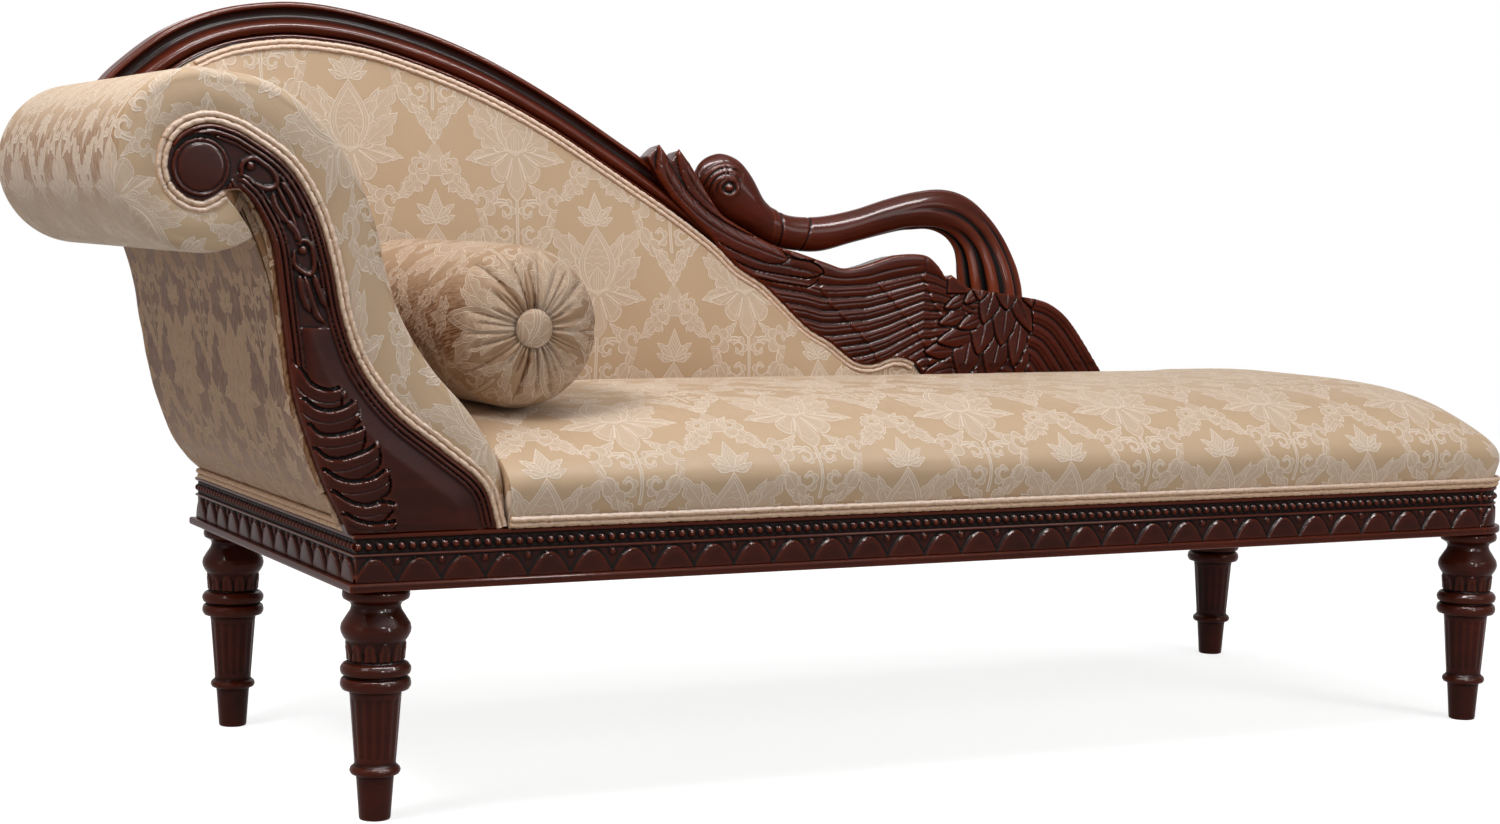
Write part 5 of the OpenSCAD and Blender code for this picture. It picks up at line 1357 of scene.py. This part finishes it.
# A drum whose ends dome in to a button. Each end is drawn in by creases of uneven length and spacing: the
# depth of one is deep * exp(-|angle| r / width), so it is a sharp valley with the cloth puffed up between
# it and the next.
def makeBolster():
    low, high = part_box("bolster_roll")
    cx, cz = (low.x + high.x) / 2 * 1000, (low.z + high.z) / 2 * 1000
    radius, gather = bolsterLook["radius"], bolsterLook["gather"]
    half = (high.y - low.y) * 500
    cy = (low.y + high.y) * 500
    q = np.linspace(0, 1, 40)  # from the button out to the rim
    rim = np.interp(q, [0, 0.1, 0.25, 0.45, 0.65, 0.82, 1], [0.238, 0.3, 0.46, 0.66, 0.84, 0.95, 1])
    inFrom = np.interp(q, [0, 0.06, 0.16, 0.3, 0.5, 0.7, 0.86, 1], [4, 1, 0, 3, 11, 23, 36, 50]) * gather / 50
    rings = np.concatenate([rim, np.ones(60), rim[::-1]])[:, None]
    drum = np.linspace(-half + gather, half - gather, 62)[1:-1]
    y = np.concatenate([-half + inFrom, drum, half - inFrom[::-1]])[:, None]
    depth = np.concatenate([1 - q, np.zeros(60), 1 - q[::-1]])[:, None]
    turn = circle(bolsterLook["around"])
    rng = np.random.default_rng(46)
    valley = np.zeros((len(rings), turn.shape[1]))
    for k in range(bolsterLook["creases"]):
        where = (k + rng.uniform(-0.34, 0.34)) / bolsterLook["creases"] * fullTurn
        lean, start = rng.uniform(-0.14, 0.14), rng.choice([0.02, 0.18, 0.3, 0.42, 0.55])
        wide, deep = rng.uniform(2.4, 4.6), rng.uniform(4.5, 8.5) * (1 - 0.5 * start)
        away = np.abs((turn - where - lean * (1 - depth) + np.pi) % (2 * np.pi) - np.pi) * radius * rings
        crease = deep * np.exp(-away / wide) * ease((depth - start) / 0.16) * ease((1.04 - depth) / 0.1)
        valley = np.maximum(valley, crease)
    r = radius * rings + 2.0 * np.sin(np.pi * (y - cy) / (2 * half) + np.pi / 2) * (rings > 0.99)
    sink = valley * unit(1.3 - rings)
    sag = 1.2 * ripple(44, 5, 1, 3)(turn / fullTurn) * ripple(45, 4, 1, 3)(y / 480) * (rings > 0.9)
    r = r - valley * unit(rings - 0.2) * 0.7 + sag - 1.5
    y = y + np.where(y < 0, 1, -1) * sink
    grid = stacked(cx + r * np.sin(turn), cy + y, cz + r * np.cos(turn)) / 1000
    outward = np.cumsum(np.hypot(np.diff(rim, prepend=rim[0]) * radius, np.diff(inFrom, prepend=4)))
    ends = outward[-1] - outward + half - gather
    v = np.concatenate([-ends, drum, ends[::-1]])[:, None] / 1000
    around = np.linspace(0, 2 * np.pi, bolsterLook["around"] + 1)[None] * radius / 1000
    uv = stacked(around * 1.14 + 0.05, v + 0.1)
    o = skin("bolster", grid, uv=uv, sharp=80)
    dress(o, damaskBolsterInShade, ["bolster_roll"])
    size, thick = bolsterLook["button"], bolsterLook["thick"]
    line = [[0.3, thick], [size * 0.3, thick - 0.2], [size * 0.62, thick - 1.2], [size * 0.86, thick - 3],
            [size * 0.98, thick - 5], [size, 1.6], [size * 0.96, 0.4], [0.3, 0.3]]
    line = evenly(curve(line, 5), 40)
    r, rise = line[:, :1], line[:, 1:]
    turn, around = circle(48), np.linspace(0, fullTurn, 49)[None]
    # a button is a domed profile turned round the bolster's axis
    for suffix, side in (("Front", -1), ("Back", 1)):
        ringY = cy + side * (half + 3.5 - thick + rise)
        grid = stacked(cx + r * np.cos(turn), ringY, cz + r * np.sin(turn)) / 1000
        uv = np.stack([r * np.cos(around), r * np.sin(around)], -1) / 1000 + 0.02
        o = skin("bolsterButton" + suffix, grid, uv=uv, sharp=80)
        dress(o, damaskBolsterInShade, ["bolster_buttons"] if side < 0 else [])


makeBolster()
print("bolster ready")

# Floor, light and camera

stageLook = {"floor": 0.5, "glow": 0.77, "world": 0.24, "from": 1.3, "to": 3.0, "half": 30}


# Pale floor. Seen by the camera, in gloss or through glass, it glows up to white further from the couch;
# near it the couch's shadow stays.
def makeFloor():
    mesh = bpy.data.meshes.new("floor")
    half = stageLook["half"]
    corners = [(-half, -half, 0), (half, -half, 0), (half, half, 0), (-half, half, 0)]
    mesh.from_pydata(corners, [], [(0, 1, 2, 3)])
    floor = bpy.data.objects.new("floor", mesh)
    bpy.context.scene.collection.objects.link(floor)
    b = Board("floorPaint")
    x, y, _ = b.parts(b.place())
    far = b.held("DIVIDE", (x * x + y * y) ** 0.5 - stageLook["from"], stageLook["to"] - stageLook["from"])
    plain = b.node("ShaderNodeBsdfDiffuse", {}, {"Color": (stageLook["floor"],) * 3 + (1,)})
    shine = stageLook["glow"], 1.0
    glow, white = (b.node("ShaderNodeEmission", {}, {0: (1, 1, 1, 1), 1: power}) for power in shine)
    near = b.node("ShaderNodeAddShader", {}, {0: plain, 1: glow})
    both = b.node("ShaderNodeMixShader", {}, {0: far, 1: near, 2: white})
    b.node("ShaderNodeOutputMaterial", {}, {0: b.whenSeen(plain, both)})
    mesh.materials.append(b.material)


# The world lights softly, and is white to the camera, in gloss and through glass.
def makeWorld():
    world = bpy.data.worlds.new("studio")
    bpy.context.scene.world = world
    b = Board("studio", world)
    shine = stageLook["world"], 1.0
    soft, white = (b.node("ShaderNodeBackground", {}, {0: (1, 1, 1, 1), 1: power}) for power in shine)
    b.node("ShaderNodeOutputWorld", {}, {0: b.whenSeen(soft, white)})


# name: where it stands, what it aims at, width and height in metres, watts, and whether it lights the matt
# parts too
lampLook = {"overhead": ((-0.4, -0.1, 2.4), (-0.3, 0, 0.5), (1.5, 1.0), 12, True),
            "overFoot": ((0.7, 0.2, 2.6), (0.5, 0, 0.4), (1.2, 1.0), 9, True),
            "overArm": ((-1.9, -0.7, 2.6), (-0.8, 0, 0.6), (0.8, 0.8), 46, True),
            "key": ((1.7, -2.5, 1.5), (0, 0, 0.4), (1.0, 1.0), 32, True),
            "fill": ((-3.0, -0.8, 1.2), (-0.8, 0, 0.5), (1.2, 1.2), 8, True),
            "rim": ((0.8, 2.6, 1.6), (0.2, 0, 0.5), (2.2, 0.8), 10, True),
            "streak": ((0.1, -0.9, 2.3), (0.2, 0, 0.5), (2.4, 0.5), 420, False),
            "spark": ((-0.2, -3.0, 2.0), (0, 0, 0.4), (0.5, 0.9), 170, False),
            "glint": ((0.55, -2.7, 1.1), (-0.5, 0, 0.4), (0.2, 0.8), 40, False)}


def stand(o, x, y, z, spot):  # turned so that its own axes are x, y and z, and moved to a spot
    o.matrix_world = Matrix([[x[k], y[k], z[k], spot[k]] for k in range(3)] + [[0, 0, 0, 1]])


def makeLamp(name, spot, aim, size, power, matt):  # its own z axis points away from what it aims at
    data = bpy.data.lights.new(name, "AREA")
    data.shape, data.size, data.size_y, data.energy = "RECTANGLE", size[0], size[1], power
    lamp = bpy.data.objects.new(name, data)
    lamp.visible_diffuse = matt
    z = np.array(spot, float) - np.array(aim, float)
    z /= np.linalg.norm(z)
    x = np.cross([0, 0.01, 1], z)
    x /= np.linalg.norm(x)
    stand(lamp, x, np.cross(z, x), z, spot)
    bpy.context.scene.collection.objects.link(lamp)


makeFloor()
makeWorld()
for name, look in lampLook.items():
    makeLamp(name, *look)

cameraLook = {"lens": 63.41, "sensor": 36, "right": (0.89305, -0.44964, 0.01726),
              "up": (0.01927, 0.07656, 0.99689), "back": (-0.44956, -0.88993, 0.07703),
              "spot": (-1.50156, -2.87614, 0.64416)}
camera = bpy.data.objects.new("camera", bpy.data.cameras.new("camera"))
camera.data.lens = cameraLook["lens"]
camera.data.sensor_width = cameraLook["sensor"]
camera.data.sensor_fit = "HORIZONTAL"
stand(camera, *[cameraLook[part] for part in ("right", "up", "back", "spot")])
bpy.context.scene.collection.objects.link(camera)
bpy.context.scene.camera = camera
bpy.context.scene.view_settings.view_transform = "Standard"
